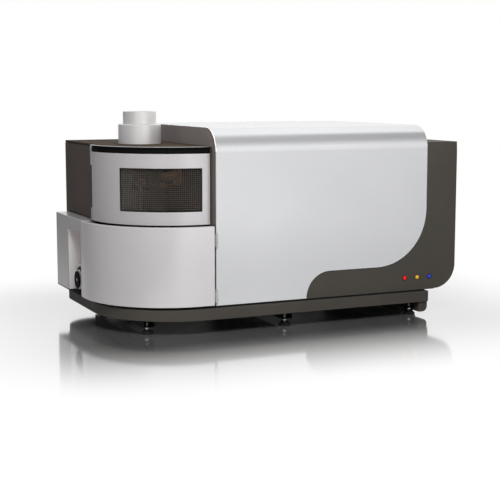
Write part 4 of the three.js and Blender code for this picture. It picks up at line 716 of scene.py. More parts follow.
sheets = (
    # new name, CAD node, finish, edge radius
    ("coverEndPlate", "hood_end_plate", "cheekPaintedLight", 0.5),
    ("topPanelSheet", "top_panel", "darkPaint", 0.5),
    ("rearPanelSheet", "rear_panel", "sidePaint", 0),
    ("towerSideSheet", "tower_side_panel", "sidePaint", 0.6),
    ("floorSheet", "floor_plate", "blackSteelAndShade", 0.4),
    ("shelfSheet", "tower_shelf", "blackSteelAndShade", 0.4),
    ("bayWallSheet", "bay_wall", "bayMetalPaintedShade", 0.6),
    ("sideBoxShell", "side_box", "boxPaint", 1.0),
    ("recessTray", "pump_recess", "trayPaintedReflection", 0.8),
    ("bearerTubeLeft", "bearer_left", "blackSteelAndShade", 1.2),
    ("bearerTubeMiddle", "bearer_middle", "blackSteelAndShade", 1.2),
    ("bearerTubeRight", "bearer_right", "blackSteelAndShade", 1.2),
)


buildCover()
buildPanels()
buildPlinth()
buildDuct()
for row in sheets:
    finishSolid(*row)
print("cabinet made")


# plasma tower: bulkhead, roof, band, chimney and the curved window door

tower = {
    "centre": (-45, 318), "radius": 300, "left": -324, "shoulderY": 324, "rearY": 741, "endX": -10.3,
    "roofBottom": 550, "roofTop": 559, "roofEdge": 3.2, "bandBottom": 535.5, "bandTop": 549.7,
    "bandThickness": 8, "bandEndX": -12, "duct": (-159.5, 330.8), "ductBore": 52,
    # rim faces by how far they look up: gloss black, and bright steel on the upper rounding as a painted
    # highlight
    "rimFinishesWithPaintedHighlight": (("glossBlack", -0.95, 0.3), ("brightSteel", 0.3, 0.93)),  # by how far a face looks up
}


# the sheet between tower and cover is paler above the roof: there it gets a paler copy of the side paint,
# painted light; its front rim and the part below the roof keep the side paint
def buildBulkhead():
    roof = at(0, 0, tower["roofTop"])
    sheet = takeSolid("bulkheadSheet", "end_cheek")
    cutPlane(sheet, roof, (0, 0, 1))
    finishPiece(sheet, "cheekPaintedLight", "end_cheek", slot="side_paint", edge=0.8)
    paintFaces(sheet, "sidePaint", lambda face: (
        abs(face.normal.x) < 0.8 or face.calc_center_median().z < roof.z
    ))


def buildRoof():
    centre, radius, shoulder = tower["centre"], tower["radius"], tower["shoulderY"]
    endAngle = -math.degrees(math.acos((tower["endX"] - centre[0]) / radius))
    outline = [
        (tower["endX"], tower["rearY"]), (tower["left"], tower["rearY"]), (tower["left"], shoulder),
        (centre[0] - radius, shoulder), *arc(centre, radius, -180, endAngle, 60),
    ]
    roof = addPlate("towerRoofPlate", outline, tower["roofBottom"], tower["roofTop"])
    x, y = tower["duct"]
    low, high = tower["roofBottom"] - beyond, tower["roofTop"] + beyond
    cutAway(roof, addRod("cutter", tower["ductBore"], (x, y, low), (x, y, high), 80))
    finishPiece(roof, "roofPaint", "tower_top", edge=tower["roofEdge"], segments=5)
    # the roof's front edge is gloss black like the band under it, with a bright line along its top: a painted
    # highlight, bright steel on the faces of the top rounding that look upwards
    rim = at(0, shoulder + 2, 0).y
    for finish, low, high in tower["rimFinishesWithPaintedHighlight"]:
        paintFaces(roof, finish, lambda face: (
            face.calc_center_median().y < rim and low < face.normal.z <= high
        ))


# straight flank spun round the bay's middle
def addCurvedWall(name, centre, radius, thickness, shoulderY, bottom, top, sweep, steps):
    left = centre[0] - radius
    wall = addBox(name, (left, centre[1], bottom), (left + thickness, shoulderY, top))
    openWhere(wall, "FACE", onPlace(y=centre[1]))
    spin(at(*centre, 0), (0, 0, 1), -math.radians(sweep), steps)
    return wall


# piece of the tower's curved front, cut off at its right end
def addTowerWall(name, thickness, bottom, top, endX, steps):
    wall = addCurvedWall(
        name, tower["centre"], tower["radius"], thickness, tower["shoulderY"], bottom, top, 98, steps
    )
    cutPlane(wall, at(endX, 0, 0), (1, 0, 0), clear_outer=True, use_fill=True)
    return wall


def buildBand():
    band = addTowerWall(
        "towerBandStrip", tower["bandThickness"], tower["bandBottom"], tower["bandTop"], tower["bandEndX"], 64
    )
    finishPiece(band, "glossBlack", "tower_band", edge=1)


chimney = {
    # new name: CAD node, radius, bottom, top, radius of the top edge
    "exhaustRingBody": ("exhaust_ring", 77.7, 559.3, 630.8, 4),
    "exhaustCollarBody": ("exhaust_collar", 60.2, 631.1, 676.1, 2),
}


def buildChimney():
    x, y = tower["duct"]
    bore = tower["ductBore"]
    for name, (node, radius, bottom, top, curve) in chimney.items():
        profile = [(bore, bottom), (radius, bottom), (radius, top), (bore, top)]
        tube = addTurned(name, (x, y, 0), profile, steps=96, closed=True)
        middle = at(x, y, top)
        roundOff(tube, lambda edge: all(
            abs(vertex.co.z - middle.z) < mm(0.1) and (vertex.co.xy - middle.xy).length > mm(radius - 0.2)
            for vertex in edge.verts
        ), curve, 6)
        finishPiece(tube, "satinWhite", node, edge=0.6)


windowDoor = {
    "thickness": 16, "bottom": 287, "top": 534.5, "endX": -12, "openingAngles": (-147, -89.3),
    "openingBottom": 333, "openingTop": 484.5, "corner": 3, "edge": 1.2, "glassOuter": 295, "glassInner": 291,
    "gasket": 2.6, "screenRadius": 290, "screenColumns": 42, "screenRows": 21, "screenWire": 1.25,
}


def addOpening(name, outer, inner, slack):
    start, end = windowDoor["openingAngles"]
    turn = math.degrees(slack / tower["radius"])
    return addSector(
        name, tower["centre"], outer, inner, start + turn, end - turn,
        windowDoor["openingBottom"] + slack, windowDoor["openingTop"] - slack, 60,
    )


def addOpeningCutter(slack):
    return addOpening("cutter", tower["radius"] + beyond, tower["radius"] - beyond * 2, slack)


# the four edges of a sector block that run outwards from the middle
def radialEdge(edge):
    first, second = (vertex.co - at(*tower["centre"], 0) for vertex in edge.verts)
    across = abs(first.z - second.z) < weld and abs(first.xy.length - second.xy.length) > mm(1)
    return across and any(isEndFace(face) for face in edge.link_faces)


# the flat end of a sector faces round the circle, not in, out, up or down
def isEndFace(face):
    outwards = (face.calc_center_median() - at(*tower["centre"], 0)).xy.normalized()
    return abs(face.normal.z) < 0.5 and abs(face.normal.xy.dot(outwards)) < 0.5


def buildWindowDoor():
    wall = addTowerWall(
        "windowDoorFrame", windowDoor["thickness"], windowDoor["bottom"], windowDoor["top"],
        windowDoor["endX"], 72,
    )
    opening = addOpeningCutter(0)
    roundOff(opening, radialEdge, windowDoor["corner"], 5)
    cutAway(wall, opening)
    finishPiece(
        wall, "framePaint", "window_door", body="window_door_body", edge=windowDoor["edge"], segments=3
    )
    # the sides of the opening are black
    low = at(-310, 0, windowDoor["openingBottom"] - 1)
    high = at(-30, 300, windowDoor["openingTop"] + 1)

    def openingSide(face):
        middle = face.calc_center_median()
        inside = low.x < middle.x < high.x and middle.y < high.y and low.z < middle.z < high.z
        return inside and (isEndFace(face) or abs(face.normal.z) > straight)

    paintFaces(wall, "blackPlastic", openingSide)

    gasket = addOpening("windowGasket", tower["radius"] - 1.2, windowDoor["glassOuter"] + 0.2, 0.1)
    cutAway(gasket, addOpeningCutter(windowDoor["gasket"]))
    finishPiece(gasket, "footRubber", body="window_door_body", edge=0.5)
    pane = addOpening("windowPane", windowDoor["glassOuter"], windowDoor["glassInner"], 0.3)
    finishPiece(pane, "tintedPane", "window_glass", body="window_door_body", edge=0.4)


# fine square wire screen behind the pane
def buildScreen():
    start, end = windowDoor["openingAngles"]
    bottom, top = windowDoor["openingBottom"] + 1, windowDoor["openingTop"] - 1
    wire = windowDoor["screenWire"]
    bpy.ops.mesh.primitive_grid_add(
        x_subdivisions=windowDoor["screenColumns"], y_subdivisions=windowDoor["screenRows"], size=1
    )
    screen = bpy.context.object
    screen.name = "windowMesh"
    for vertex in screen.data.vertices:
        across, up = vertex.co.x + 0.5, vertex.co.y + 0.5
        angle = start + 0.2 + (end - start - 0.4) * across
        x, y = arc(tower["centre"], windowDoor["screenRadius"] - wire / 2, angle, angle, 1)[0]
        vertex.co = at(x, y, bottom + (top - bottom) * up)
    applyModifier(screen, "WIREFRAME", thickness=mm(wire), use_even_offset=False, use_boundary=True)
    openEdit(screen)
    closeClean()
    finishPiece(screen, "screenWire", "window_screen", body="window_door_body")


buildBulkhead()
buildRoof()
buildBand()
buildChimney()
buildWindowDoor()
buildScreen()
print("tower made")


# sample bay door and the hinges

sampleDoor = {
    "centre": (-50, 322), "radius": 330, "thickness": 16, "shoulderY": 357, "bottom": 1.9, "top": 282.5,
    "endX": -5.9, "edge": 1.6, "rim": 14, "panelDepth": 3,
}


def buildSampleDoor():
    centre = sampleDoor["centre"]
    door = addCurvedWall(
        "sampleDoorShell", centre, sampleDoor["radius"], sampleDoor["thickness"], sampleDoor["shoulderY"],
        sampleDoor["bottom"], sampleDoor["top"], 90, 72,
    )
    openWhere(door, "FACE", onPlace(x=centre[0]))
    extrude((mm(sampleDoor["endX"] - centre[0]), 0, 0))
    closeEdit()
    # the folded rim round the inside
    middle = at(*centre, 0).xy

    def innerFace(face):
        inwards = (middle - face.calc_center_median().xy).normalized()
        return abs(face.normal.z) < 0.1 and face.normal.xy.dot(inwards) > 0.5

    openWhere(door, "FACE", innerFace)
    bpy.ops.mesh.inset(thickness=mm(sampleDoor["rim"]), depth=-mm(sampleDoor["panelDepth"]))
    closeEdit()
    finishPiece(
        door, "doorPaint", "lower_door", body="lower_door_body", edge=sampleDoor["edge"], segments=3
    )


hinges = {
    # leaf and flap are the plan corners of the fixed and the moving leaf; each span is fixed, then moving
    "window": {
        "node": "window_hinge_", "body": "window_door_body", "axis": (-341, 331), "radius": 7,
        "leaf": ((-341, 328.5), (-324.3, 347)), "leafEdge": 0.6,
        "flap": ((-341, 308), (-336, 327)), "flapEdge": 0.6, "flapGap": 0,
        "spans": {"Upper": ((534.8, 558), (486, 534.5)), "Lower": ((288, 310), (310.3, 332))},
    },
    "door": {
        "node": "lower_hinge_", "body": "lower_door_body", "axis": (-0.6, -8.6), "radius": 5,
        "leaf": ((-0.6, -8.6), (6.4, -3.6)), "leafEdge": 0.5,
        "flap": ((-21.6, -7.1), (-3.6, -4.6)), "flapEdge": 0, "flapGap": 0.5,
        "spans": {"Upper": ((209.5, 233.2), (233.5, 257.5)), "Lower": ((12, 35.7), (36, 60))},
    },
}


def addLeaf(corners, bottom, top, edge):
    leaf = addBox("leaf", (*corners[0], bottom), (*corners[1], top))
    if edge:
        softenEdges(leaf, edge)
    return leaf


def buildHinges():
    for word, hinge in hinges.items():
        axis, gap = hinge["axis"], hinge["flapGap"]
        for end, spans in hinge["spans"].items():
            barrels = []
            for low, high in spans:
                barrels.append(addRod("barrel", hinge["radius"], (*axis, low), (*axis, high), 40))
                softenEdges(barrels[-1], 0.7)
            (low, high), (flapLow, flapHigh) = spans
            fixed = joinPieces(
                word + "Hinge" + end, barrels[0], addLeaf(hinge["leaf"], low, high, hinge["leafEdge"]),
                addRod("pin", 2.5, (*axis, min(low, flapLow)), (*axis, max(high, flapHigh)), 24),
            )
            finishPiece(fixed, "brightSteel", hinge["node"] + end.lower())
            flap = addLeaf(hinge["flap"], flapLow + gap, flapHigh - gap, hinge["flapEdge"])
            moving = joinPieces(word + "Knuckle" + end, barrels[1], flap)
            finishPiece(moving, "brightSteel", body=hinge["body"], slot="door_paint")


buildSampleDoor()
buildHinges()
print("doors made")


# torch, load coil, interface and glassware

plasma = {"torchBottom": 300.6, "torchTop": 428.6, "axisZ": 438.6}


def buildTorch():
    x, y = tower["duct"]
    low, high = plasma["torchBottom"], plasma["torchTop"]
    outer = [
        (0, low), (13.4, low), (14, low + 0.6), (14, low + 11), (13, low + 12), (10.6, low + 12.4),
        (10, low + 14), (10, high - 0.7), (9.25, high), (8.5, high - 0.7), (8.5, low + 7), (7.6, low + 6),
        (0, low + 6),
    ]
    middle = [
        (0, low + 6.3), (7, low + 6.3), (7, high - 26.6), (6.4, high - 26), (5.8, high - 26.6),
        (5.8, low + 9), (0, low + 9),
    ]
    injector = [
        (0, low + 9.3), (2.2, low + 9.3), (2.2, high - 40), (1.6, high - 34), (1, high - 34),
        (1, low + 12), (0, low + 12),
    ]
    tubes = [addTurned("tube", (x, y, 0), profile, steps=40) for profile in (outer, middle, injector)]
    finishPiece(joinPieces("torchTubes", *tubes), "quartzGlass", "torch", smooth=50)


coil = {
    "radius": 17, "tube": 2.2, "pitch": 8, "turns": 3, "turnSteps": 24, "bottom": 398.6, "lead": 62,
    "neck": 12,
}


def buildCoil():
    x, y = tower["duct"]
    radius, tube, low, steps = coil["radius"], coil["tube"], coil["bottom"], coil["turnSteps"]
    high = low + coil["pitch"] * coil["turns"]
    ring = arc((x, y), radius, 0, 360 * coil["turns"], steps * coil["turns"])
    loops = [(*place, low + step / steps * coil["pitch"]) for step, place in enumerate(ring)]
    neck, lead = y + radius + coil["neck"], y + coil["lead"]
    start = [
        (x + radius * 2, lead, low), (x + radius * 2, neck, low), (x + radius * 2, y + radius, low),
        (x + radius + tube * 3, y + tube, low),
    ]
    end = [(x + radius, y + radius, high), (x + radius, neck, high), (x + radius, lead, high)]
    finishPiece(addTube("loadCoilTube", start + loops + end, tube, 4), "copperTube", "load_coil", smooth=60)


# copper strap with its clamp, from the coil block to the interface
strap = {
    "line": (
        (-104, 398, 412), (-99, 388, 404), (-86, 362, 399), (-66, 348, 402), (-44, 340, 403), (-24, 335, 405),
        (-18.6, 333, 406),
    ),
    "radius": 2.2, "clampLow": (-80, 343, 396), "clampHigh": (-54, 353, 408), "clampEdge": 1.5,
    "screwX": (-74, -60), "screwTop": 411, "screw": 3.4,
}


def buildStrap():
    band = addTube("band", strap["line"], strap["radius"])
    clamp = addBox("clamp", strap["clampLow"], strap["clampHigh"])
    softenEdges(clamp, strap["clampEdge"], 3)
    y = (strap["clampLow"][1] + strap["clampHigh"][1]) / 2
    low, high = strap["clampHigh"][2], strap["screwTop"]
    heads = [addRod("screw", strap["screw"], (x, y, low), (x, y, high), 6) for x in strap["screwX"]]
    finishPiece(joinPieces("earthStrap", band, clamp, *heads), "copperTube", smooth=60)


interface = {
    "profile": (
        (8, -76.3), (11.2, -76.3), (12, -75.2), (19.4, -19), (20, -18.3), (37.2, -18.3), (38, -17.5),
        (38, -10.9), (37.4, -10.3), (20, -10.3), (20, 39.7), (8, 39.7),
    ),
    "screwCircle": 29.5, "screwX": (-18.5, -21.3), "screw": 3, "socketX": (-20, -23), "socket": 1.6,
}


def buildInterface():
    y, z = tower["duct"][1], plasma["axisZ"]
    cone = addTurned("interfaceCone", (0, y, z), interface["profile"], axis="X", steps=72, closed=True)
    # six socket screws hold the flange
    heads = []
    for place in arc((y, z), interface["screwCircle"], 30, 330, 5):
        head, socket = (
            addRod("screw", interface[word], *((x, *place) for x in interface[word + "X"]), sides)
            for word, sides in (("screw", 20), ("socket", 6))
        )
        cutAway(head, socket)
        heads.append(head)
    finishPiece(cone, "copperTube", "optics_interface")
    finishPiece(joinPieces("interfaceScrews", *heads), "brightSteel")


chamber = {
    "radius": 26, "wall": 2, "centreZ": 213.5, "neck": 5.5, "neckTop": 300, "drain": 4, "drainBottom": 161.5,
    "port": 8, "portLength": 20, "cap": 10.5, "capRib": 0.4, "bore": 4.3,
}
nebulizer = {"radius": 4, "length": 62, "arm": 2.5, "armLength": 18}


def bulbPoints(radius, neck, drain):
    start, end = 90 - math.degrees(math.asin(neck / radius)), math.degrees(math.asin(drain / radius)) - 90
    return arc((0, chamber["centreZ"]), radius, start, end, 18)


def buildChamber():
    x, y = tower["duct"]
    z, radius, wall, bore = chamber["centreZ"], chamber["radius"], chamber["wall"], chamber["bore"]
    neck, drain = chamber["neck"], chamber["drain"]
    profile = [
        (drain - wall, chamber["drainBottom"]), (drain, chamber["drainBottom"]),
        *bulbPoints(radius, neck, drain)[::-1], (neck, chamber["neckTop"]), (neck - wall, chamber["neckTop"]),
        *bulbPoints(radius - wall, neck - wall, drain - wall),
    ]
    bulb = addTurned("bulb", (x, y, 0), profile, steps=48, closed=True)
    front = y - radius - chamber["portLength"]
    port = addRod("port", chamber["port"], (x, front, z), (x, y - radius + 3, z), 40)
    cutAway(port, addRod("cutter", bore, (x, front - 5, z), (x, y, z)))
    finishPiece(joinPieces("sprayChamberGlass", bulb, port), "quartzGlass", "spray_chamber", smooth=50)
    # ribbed screw cap that clamps the nebulizer
    cap = addRod("nebulizerCap", chamber["cap"], (x, front - 2, z), (x, front + 9, z), 24)
    everyOther = lambda face: abs(face.normal.y) < 0.5 and face.index % 2 == 0
    insetAndMove(cap, everyOther, chamber["capRib"], (0, 0, 0))
    softenEdges(cap, 0.5)
    cutAway(cap, addRod("cutter", bore, (x, front - 9, z), (x, y, z)))
    finishPiece(cap, "whiteCeramic")


def buildNebulizer():
    x, tip, z = tower["duct"][0], tower["duct"][1] - chamber["radius"], chamber["centreZ"]
    radius, front = nebulizer["radius"], tip - nebulizer["length"]
    armY = (front + tip - chamber["portLength"]) / 2
    profile = [
        (0, front), (1.6, front), (1.9, front + 1), (1.9, front + 9), (3.4, front + 13), (radius, front + 15),
        (radius, tip - 6), (1.4, tip), (0, tip),
    ]
    stem = addTurned("stem", (x, 0, z), profile, axis="Y", steps=36)
    arm = addRod("arm", nebulizer["arm"], (x, armY, z - radius - nebulizer["armLength"]), (x, armY, z), 24)
    softenEdges(arm, 0.5)
    finishPiece(joinPieces("nebulizerGlass", stem, arm), "quartzGlass", "nebulizer", smooth=50)


buildTorch()
buildCoil()
buildStrap()
buildInterface()
buildChamber()
buildNebulizer()
finishSolid("torchBlock", "torch_mount", "darkCeramic", 1.5)
finishSolid("coilBlock", "coil_mount", "darkCeramic", 1.5)
print("plasma bay made")


# peristaltic pump

pump = {
    "y": 445, "z": 53, "drumLeft": -364.6, "drumRight": -334.6, "disc": 37, "discWidth": 4, "core": 22,
    "shaft": 6, "shaftEnd": -314.6, "rollers": 12, "roller": 6, "rollerPin": 2.2, "rollerReach": 40,
    "knobLeft": -373.6, "knobRight": -370.4, "knob": 32, "flutes": 18, "hub": 9, "screw": 6,
}
lever = {"low": (-360.1, 405.8, 112), "high": (-339.1, 412.8, 179.9), "tip": 5, "edge": 1}
pumpTube = {"x": -349.6, "reach": 47.9, "radius": 1.6, "foot": 5.8}


# rod round the pump's axis, or parallel to it
def addPumpRod(name, radius, left, right, sides, place=(pump["y"], pump["z"])):
    return addRod(name, radius, (left, *place), (right, *place), sides)


def buildRoller():
    y, z, left, right, width = pump["y"], pump["z"], pump["drumLeft"], pump["drumRight"], pump["discWidth"]
    drum = joinPieces(
        "rollerDrum",
        addPumpRod("disc", pump["disc"], left, left + width, 64),
        addPumpRod("disc", pump["disc"], right - width, right, 64),
        addPumpRod("core", pump["core"], left + 2, right - 2, 48),
        addPumpRod("axle", pump["shaft"], right - 4, pump["shaftEnd"], 32),
    )
    finishPiece(drum, "drumMetal", "pump_rotor", body="pump_rotor_body", edge=0.6)
    rollers = []
    for place in arc((y, z), pump["rollerReach"], 0, 360, pump["rollers"])[:-1]:
        rollers.append(addPumpRod("roller", pump["roller"], left + 4.3, right - 4.3, 20, place))
        rollers.append(addPumpRod("pin", pump["rollerPin"], left - 0.9, right + 0.2, 12, place))
    finishPiece(joinPieces("rollerSet", *rollers), "knobPlastic", body="pump_rotor_body", edge=0.4)


# finger knob: a fluted rim, a dished face and a steel screw in its middle
def buildKnob():
    y, z, left, right, screw = pump["y"], pump["z"], pump["knobLeft"], pump["knobRight"], pump["screw"]
    knob = addPumpRod("knob", pump["knob"], left, right, 72)
    half = 180 / pump["flutes"]
    places = arc((y, z), pump["knob"] + 1.6, half, 360 - half, pump["flutes"] - 1)
    flutes = [addPumpRod("flute", 3, left - 5, right + 5, 16, place) for place in places]
    cutAway(knob, joinPieces("cutter", *flutes))
    insetAndMove(knob, onPlace(x=left), 4, (0.8, 0, 0))
    softenEdges(knob, 0.6)
    neck = addPumpRod("neck", pump["hub"], right - 3, pump["drumLeft"] + 1, 32)
    finishPiece(joinPieces("rollerKnob", knob, neck), "knobPlastic", body="pump_rotor_body")
    profile = [
        (0, left + 0.1), (screw - 0.8, left + 0.1), (screw, left + 0.8), (screw, right - 1), (0, right - 1),
    ]
    head = addTurned("rollerScrew", (0, y, z), profile, axis="X", steps=32)
    cutAway(head, addBox("cutter", (left - 2, y - 4.6, z - 0.7), (left + 1.1, y + 4.6, z + 0.7)))
    finishPiece(head, "brightSteel", body="pump_rotor_body")


def buildClamp():
    finishSolid("clampShoe", "pump_clamp", "drumMetal", 0.6, body="pump_clamp_body", slot="black_plastic")
    plate = addBox("clampLever", lever["low"], lever["high"])
    onTop = onPlace(z=lever["high"][2])
    roundOff(plate, lambda edge: (
        onTop(edge) and abs(edge.verts[0].co.x - edge.verts[1].co.x) < weld
    ), lever["tip"], 6)
    finishPiece(plate, "brightSteel", body="pump_clamp_body", edge=lever["edge"])


def buildPumpTube():
    y, z, reach, foot = pump["y"], pump["z"], pumpTube["reach"], pumpTube["foot"]
    line = [(y + reach, foot), (y + reach, z - 20), *arc((y, z), reach, 0, 180, 24)]
    line += [(y - reach, z - 20), (y - reach, foot)]
    tube = addTube("pumpTubing", [(pumpTube["x"], *place) for place in line], pumpTube["radius"])
    finishPiece(tube, "pumpTubing", "pump_tube", smooth=60)


buildRoller()
buildKnob()
buildClamp()
buildPumpTube()
finishSolid("pumpMotorBlock", "pump_body", "blackPlastic", 2)
print("pump made")


# buttons and feet

button = {"radius": 8, "front": -2.5, "back": 6.5, "stem": 3, "stemEnd": 22.5, "dome": 1.1, "bezel": 10.2}


def buildButtons():
    radius, front, back, stem = button["radius"], button["front"], button["back"], button["stem"]
    profile = [
        (0, front), (3, front + 0.1), (5.4, front + 0.45), (7, front + button["dome"]),
        (radius - 0.25, front + 1.9), (radius, front + 2.6), (radius, back), (stem, back),
        (stem, button["stemEnd"]), (0, button["stemEnd"]),
    ]
    inner, outer = frontPanel["bore"], button["bezel"]
    ring = [(inner, -0.9), (outer - 0.8, -0.9), (outer, -0.3), (outer, 0.05), (inner, 0.05)]
    for word in ("red", "yellow", "blue"):
        place = (buttonPlaces[word], 0, buttonPlaces["z"])
        cap = addTurned(word + "ButtonCap", place, profile, axis="Y", steps=48)
        finishPiece(cap, word + "Cap", "button_" + word, body=f"button_{word}_body")
        bezel = addTurned(word + "ButtonBezel", place, ring, axis="Y", steps=48, closed=True)
        finishPiece(bezel, "blackPlastic")


feet = {
    # x and front y of each pair
    "pairs": {"left": (-220, 104), "middle": (291, 44), "right": (825, 44)}, "depth": 741, "bench": -100,
    "pad": 22.5, "neck": 13, "padTop": 13, "nutBottom": 18.7, "nutTop": 24.7, "nut": 9, "stud": 5,
    "studTop": 40.7, "threadPitch": 1.5,
}


def buildFoot(word, x, y, body, node):
    place, bench = (x, y, feet["bench"]), feet["bench"]
    pad, neck, top = feet["pad"], feet["neck"], feet["padTop"]
    profile = [
        (0, 0), (pad - 1.2, 0), (pad, 1), (pad, 3.4), (pad - 0.8, 4.4), (neck + 1, top - 1),
        (neck - 0.4, top), (7.4, top), (6.8, top - 1), (0, top - 1),
    ]
    finishPiece(addTurned("footPad" + word, place, profile, steps=48), "footRubber", node, body=body)
    stud, pitch = feet["stud"], feet["threadPitch"]
    thread = [(0, top - 1), (stud, top - 1), (stud, top + 1)]
    height = top + 1
    while height < feet["studTop"] - pitch:
        thread += [(stud - 0.7, height + pitch / 2), (stud, height + pitch)]
        height += pitch
    thread += [(stud - 1, feet["studTop"]), (0, feet["studTop"])]
    screw = addTurned("stud", place, thread, steps=24)
    nut = addRod("nut", feet["nut"], (x, y, bench + feet["nutBottom"]), (x, y, bench + feet["nutTop"]), 6)
    softenEdges(nut, 0.8)
    finishPiece(joinPieces("footStud" + word, screw, nut), "brightSteel", body=body)


def buildFeet():
    for side, (x, front) in feet["pairs"].items():
        for end, y in (("front", front), ("rear", feet["depth"] - front)):
            word = f"{end}_{side}"
            buildFoot(end.title() + side.title(), x, y, f"foot_{word}_body", f"levelling_foot_{word}")


buildButtons()
buildFeet()
print("buttons and feet made")


# inside of the cabinet and the rear services

insideBlocks = (
    # new name, CAD node, finish, edge radius
    ("buttonCarrierBar", "button_carrier", "blackPlastic", 0.8),
    ("opticsCasting", "optical_chamber", "castMetal", 4),
    ("detectorCase", "detector_module", "castMetal", 0.8),
    ("generatorCase", "rf_generator", "castMetal", 1.5),
    ("supplyCase", "power_supply", "stainlessSheet", 1),
    ("fanFrame", "fan_housing", "blackPlastic", 0.8),
    ("inletHousing", "mains_inlet", "blackPlastic", 0.8),
    ("portManifold", "service_ports", "brightSteel", 0.6),
)
inlet = {"x": 420, "z": 67.5, "back": 722.5, "pins": ((-7, -3), (0, 3), (7, -3)), "pin": (1, 16, 2.5)}
guard = {
    "centre": (850, 742.4, 380), "rings": (13, 25, 37, 49), "wire": 0.9, "bar": 1, "reach": 55, "lug": 4.2,
}
screws = {
    "y": 741.8, "radius": 3, "height": 1.7, "slit": 0.42, "arm": 1.65,
    "places": (
        (-310, 20), (-310, 280), (-310, 535), (-60, 20), (300, 20), (640, 20), (890, 20),
        (20, 545), (250, 545), (500, 545), (750, 545), (985, 545), (985, 280), (985, 110),
    ),
}


def buildBoard():
    board = finishSolid("boardAssembly", "control_board", "boardMask", 0.2)
    shell = at(0, 727, 0).y  # the connector shells stand behind this
    paintFaces(board, "brightSteel", lambda face: face.calc_center_median().y > shell)


def buildInletPins():
    wide, long, tall = inlet["pin"]
    pins = []
    for dx, dz in inlet["pins"]:
        x, y, z = inlet["x"] + dx, inlet["back"], inlet["z"] + dz
        pins.append(addBox("pin", (x - wide, y, z - tall), (x + wide, y + long, z + tall)))
        softenEdges(pins[-1], 0.6)
    finishPiece(joinPieces("inletPins", *pins), "brightSteel")


# wire guard over the fan
def buildGuard():
    x, y, z = guard["centre"]
    parts = []
    for ring in guard["rings"]:
        profile = arc((ring, 0), guard["wire"], 0, 360, 8)[:-1]
        parts.append(addTurned("ring", (x, y, z), profile, axis="Y", steps=48, closed=True))
    reach = guard["reach"] / math.sqrt(2)
    for side in (-1, 1):
        ends = [(x - reach, y + 1.2, z - side * reach), (x + reach, y + 1.2, z + side * reach)]
        parts.append(addRod("bar", guard["bar"], *ends, 10))
        for lugX, _, lugZ in ends:
            parts.append(addRod("lug", guard["lug"], (lugX, tower["rearY"], lugZ), (lugX, y + 2.2, lugZ), 20))
    finishPiece(joinPieces("fanGuard", *parts), "brightSteel")


# pan head screws with a cross recess: one is made, the others are copies
def buildRearScrews():
    y, height, slit, arm = screws["y"], screws["height"], screws["slit"], screws["arm"]
    (x, z), *others = screws["places"]
    head = addRod("screw", screws["radius"], (x, y - height / 2, z), (x, y + height / 2, z), 16)
    for wide, tall in ((arm, slit), (slit, arm)):
        cutAway(head, addBox("cutter", (x - wide, y, z - tall), (x + wide, y + height, z + tall)))
    softenEdges(head, 0.35)
    copies = [copyPiece(head, (otherX - x, 0, otherZ - z)) for otherX, otherZ in others]
    finishPiece(joinPieces("rearPanelScrews", head, *copies), "brightSteel")


for row in insideBlocks:
    finishSolid(*row)
finishSolid("fanImpeller", "fan_rotor", "blackPlastic", 0.4, body="fan_rotor_body")
finishSolid("switchRocker", "mains_switch", "blackPlastic", 0.8, body="mains_switch_body", segments=3)
buildBoard()
buildInletPins()
buildGuard()
buildRearScrews()
print("inside and rear made")


# studio: glossy pale table, soft lamps, camera

studio = {
    "cameraPlace": (-1.8898, -4.1259, 0.8519), "cameraTurn": -24.54, "cameraPitch": 7.63, "focal": 84.52,
    "worldLight": 0.15, "floorSize": 120, "floorDrop": 0.0005, "floorLift": 0.02, "floorRough": 0.09,
    "floorGloss": (0.04, 0.95), "floorGrey": (0.42, 0.42, 0.42), "floorSeen": (0.85, 0.85, 0.85),
    "floorCore": (0.58, 0.36, 0), "floorFade": (0.1, 0.82),
    "ceiling": (
        (0, 1), (0.32, 1), (0.54, 0.4), (0.68, 0.06), (0.86, 0.08), (0.91, 0.5), (0.95, 0.95), (1, 1),
    ),
    "sideways": (1, -0.35, 0), "sides": ((0.16, 0.3), (0.3, 1), (0.86, 1), (1, 0.7)),
    "floorSides": ((0.17, 0.3), (0.27, 1), (0.57, 1), (0.81, 0.7)),
    "floorDepth": ((0, 1), (0.2, 0.97), (0.4, 0.88), (0.6, 0.66), (0.76, 0.68), (1, 0.8)),
}
lamps = {
    # place, what it points at, size, power
    "frontLamp": ((-0.8, -2.4, 2.4), (-0.3, -0.3, 0.7), (1.8, 1.2), 122),
    "sideLamp": ((-2.6, -1.0, 0.9), (-0.6, -0.1, 0.2), (1.2, 0.8), 7),
    "topLamp": ((1.2, 0.9, 2.8), (0.2, 0.1, 0.5), (2.4, 1.6), 23),
    "rearLamp": ((0.3, 3.0, 1.8), (0.1, 0, 0.5), (3.0, 1.4), 30),
}
white = (1, 1, 1)


def addCamera():
    pitch, turn = math.radians(90 - studio["cameraPitch"]), math.radians(studio["cameraTurn"])
    bpy.ops.object.camera_add(location=studio["cameraPlace"], rotation=(pitch, 0, turn))
    camera = bpy.context.object
    camera.name = "viewCamera"
    camera.data.lens = studio["focal"]
    camera.data.sensor_width = 36
    camera.data.clip_end = 200
    bpy.context.scene.camera = camera


def addLamps():
    for name, (place, target, size, power) in lamps.items():
        bpy.ops.object.light_add(type="AREA", location=place)
        lamp = bpy.context.object
        lamp.name = name
        lamp.data.shape = "RECTANGLE"
        lamp.data.size, lamp.data.size_y = size
        lamp.data.energy = power
        lamp.visible_glossy = False
        aim = Vector(target) - Vector(place)
        lamp.rotation_euler = aim.to_track_quat("-Z", "Y").to_euler()


def rayIs(tree, word):
    return addNode(tree, "LightPath", {}, f"Is {word} Ray")


# 1 for what the camera sees, also in metal and through glass; 0 for the light on the object
def rayMask(tree):
    total = rayIs(tree, "Camera")
    for word in ("Glossy", "Transmission"):
        total = addMath(tree, "MAXIMUM", total, rayIs(tree, word))
    return total


def axisOf(tree, value, axis):
    return addNode(tree, "SeparateXYZ", {0: value}, axis)


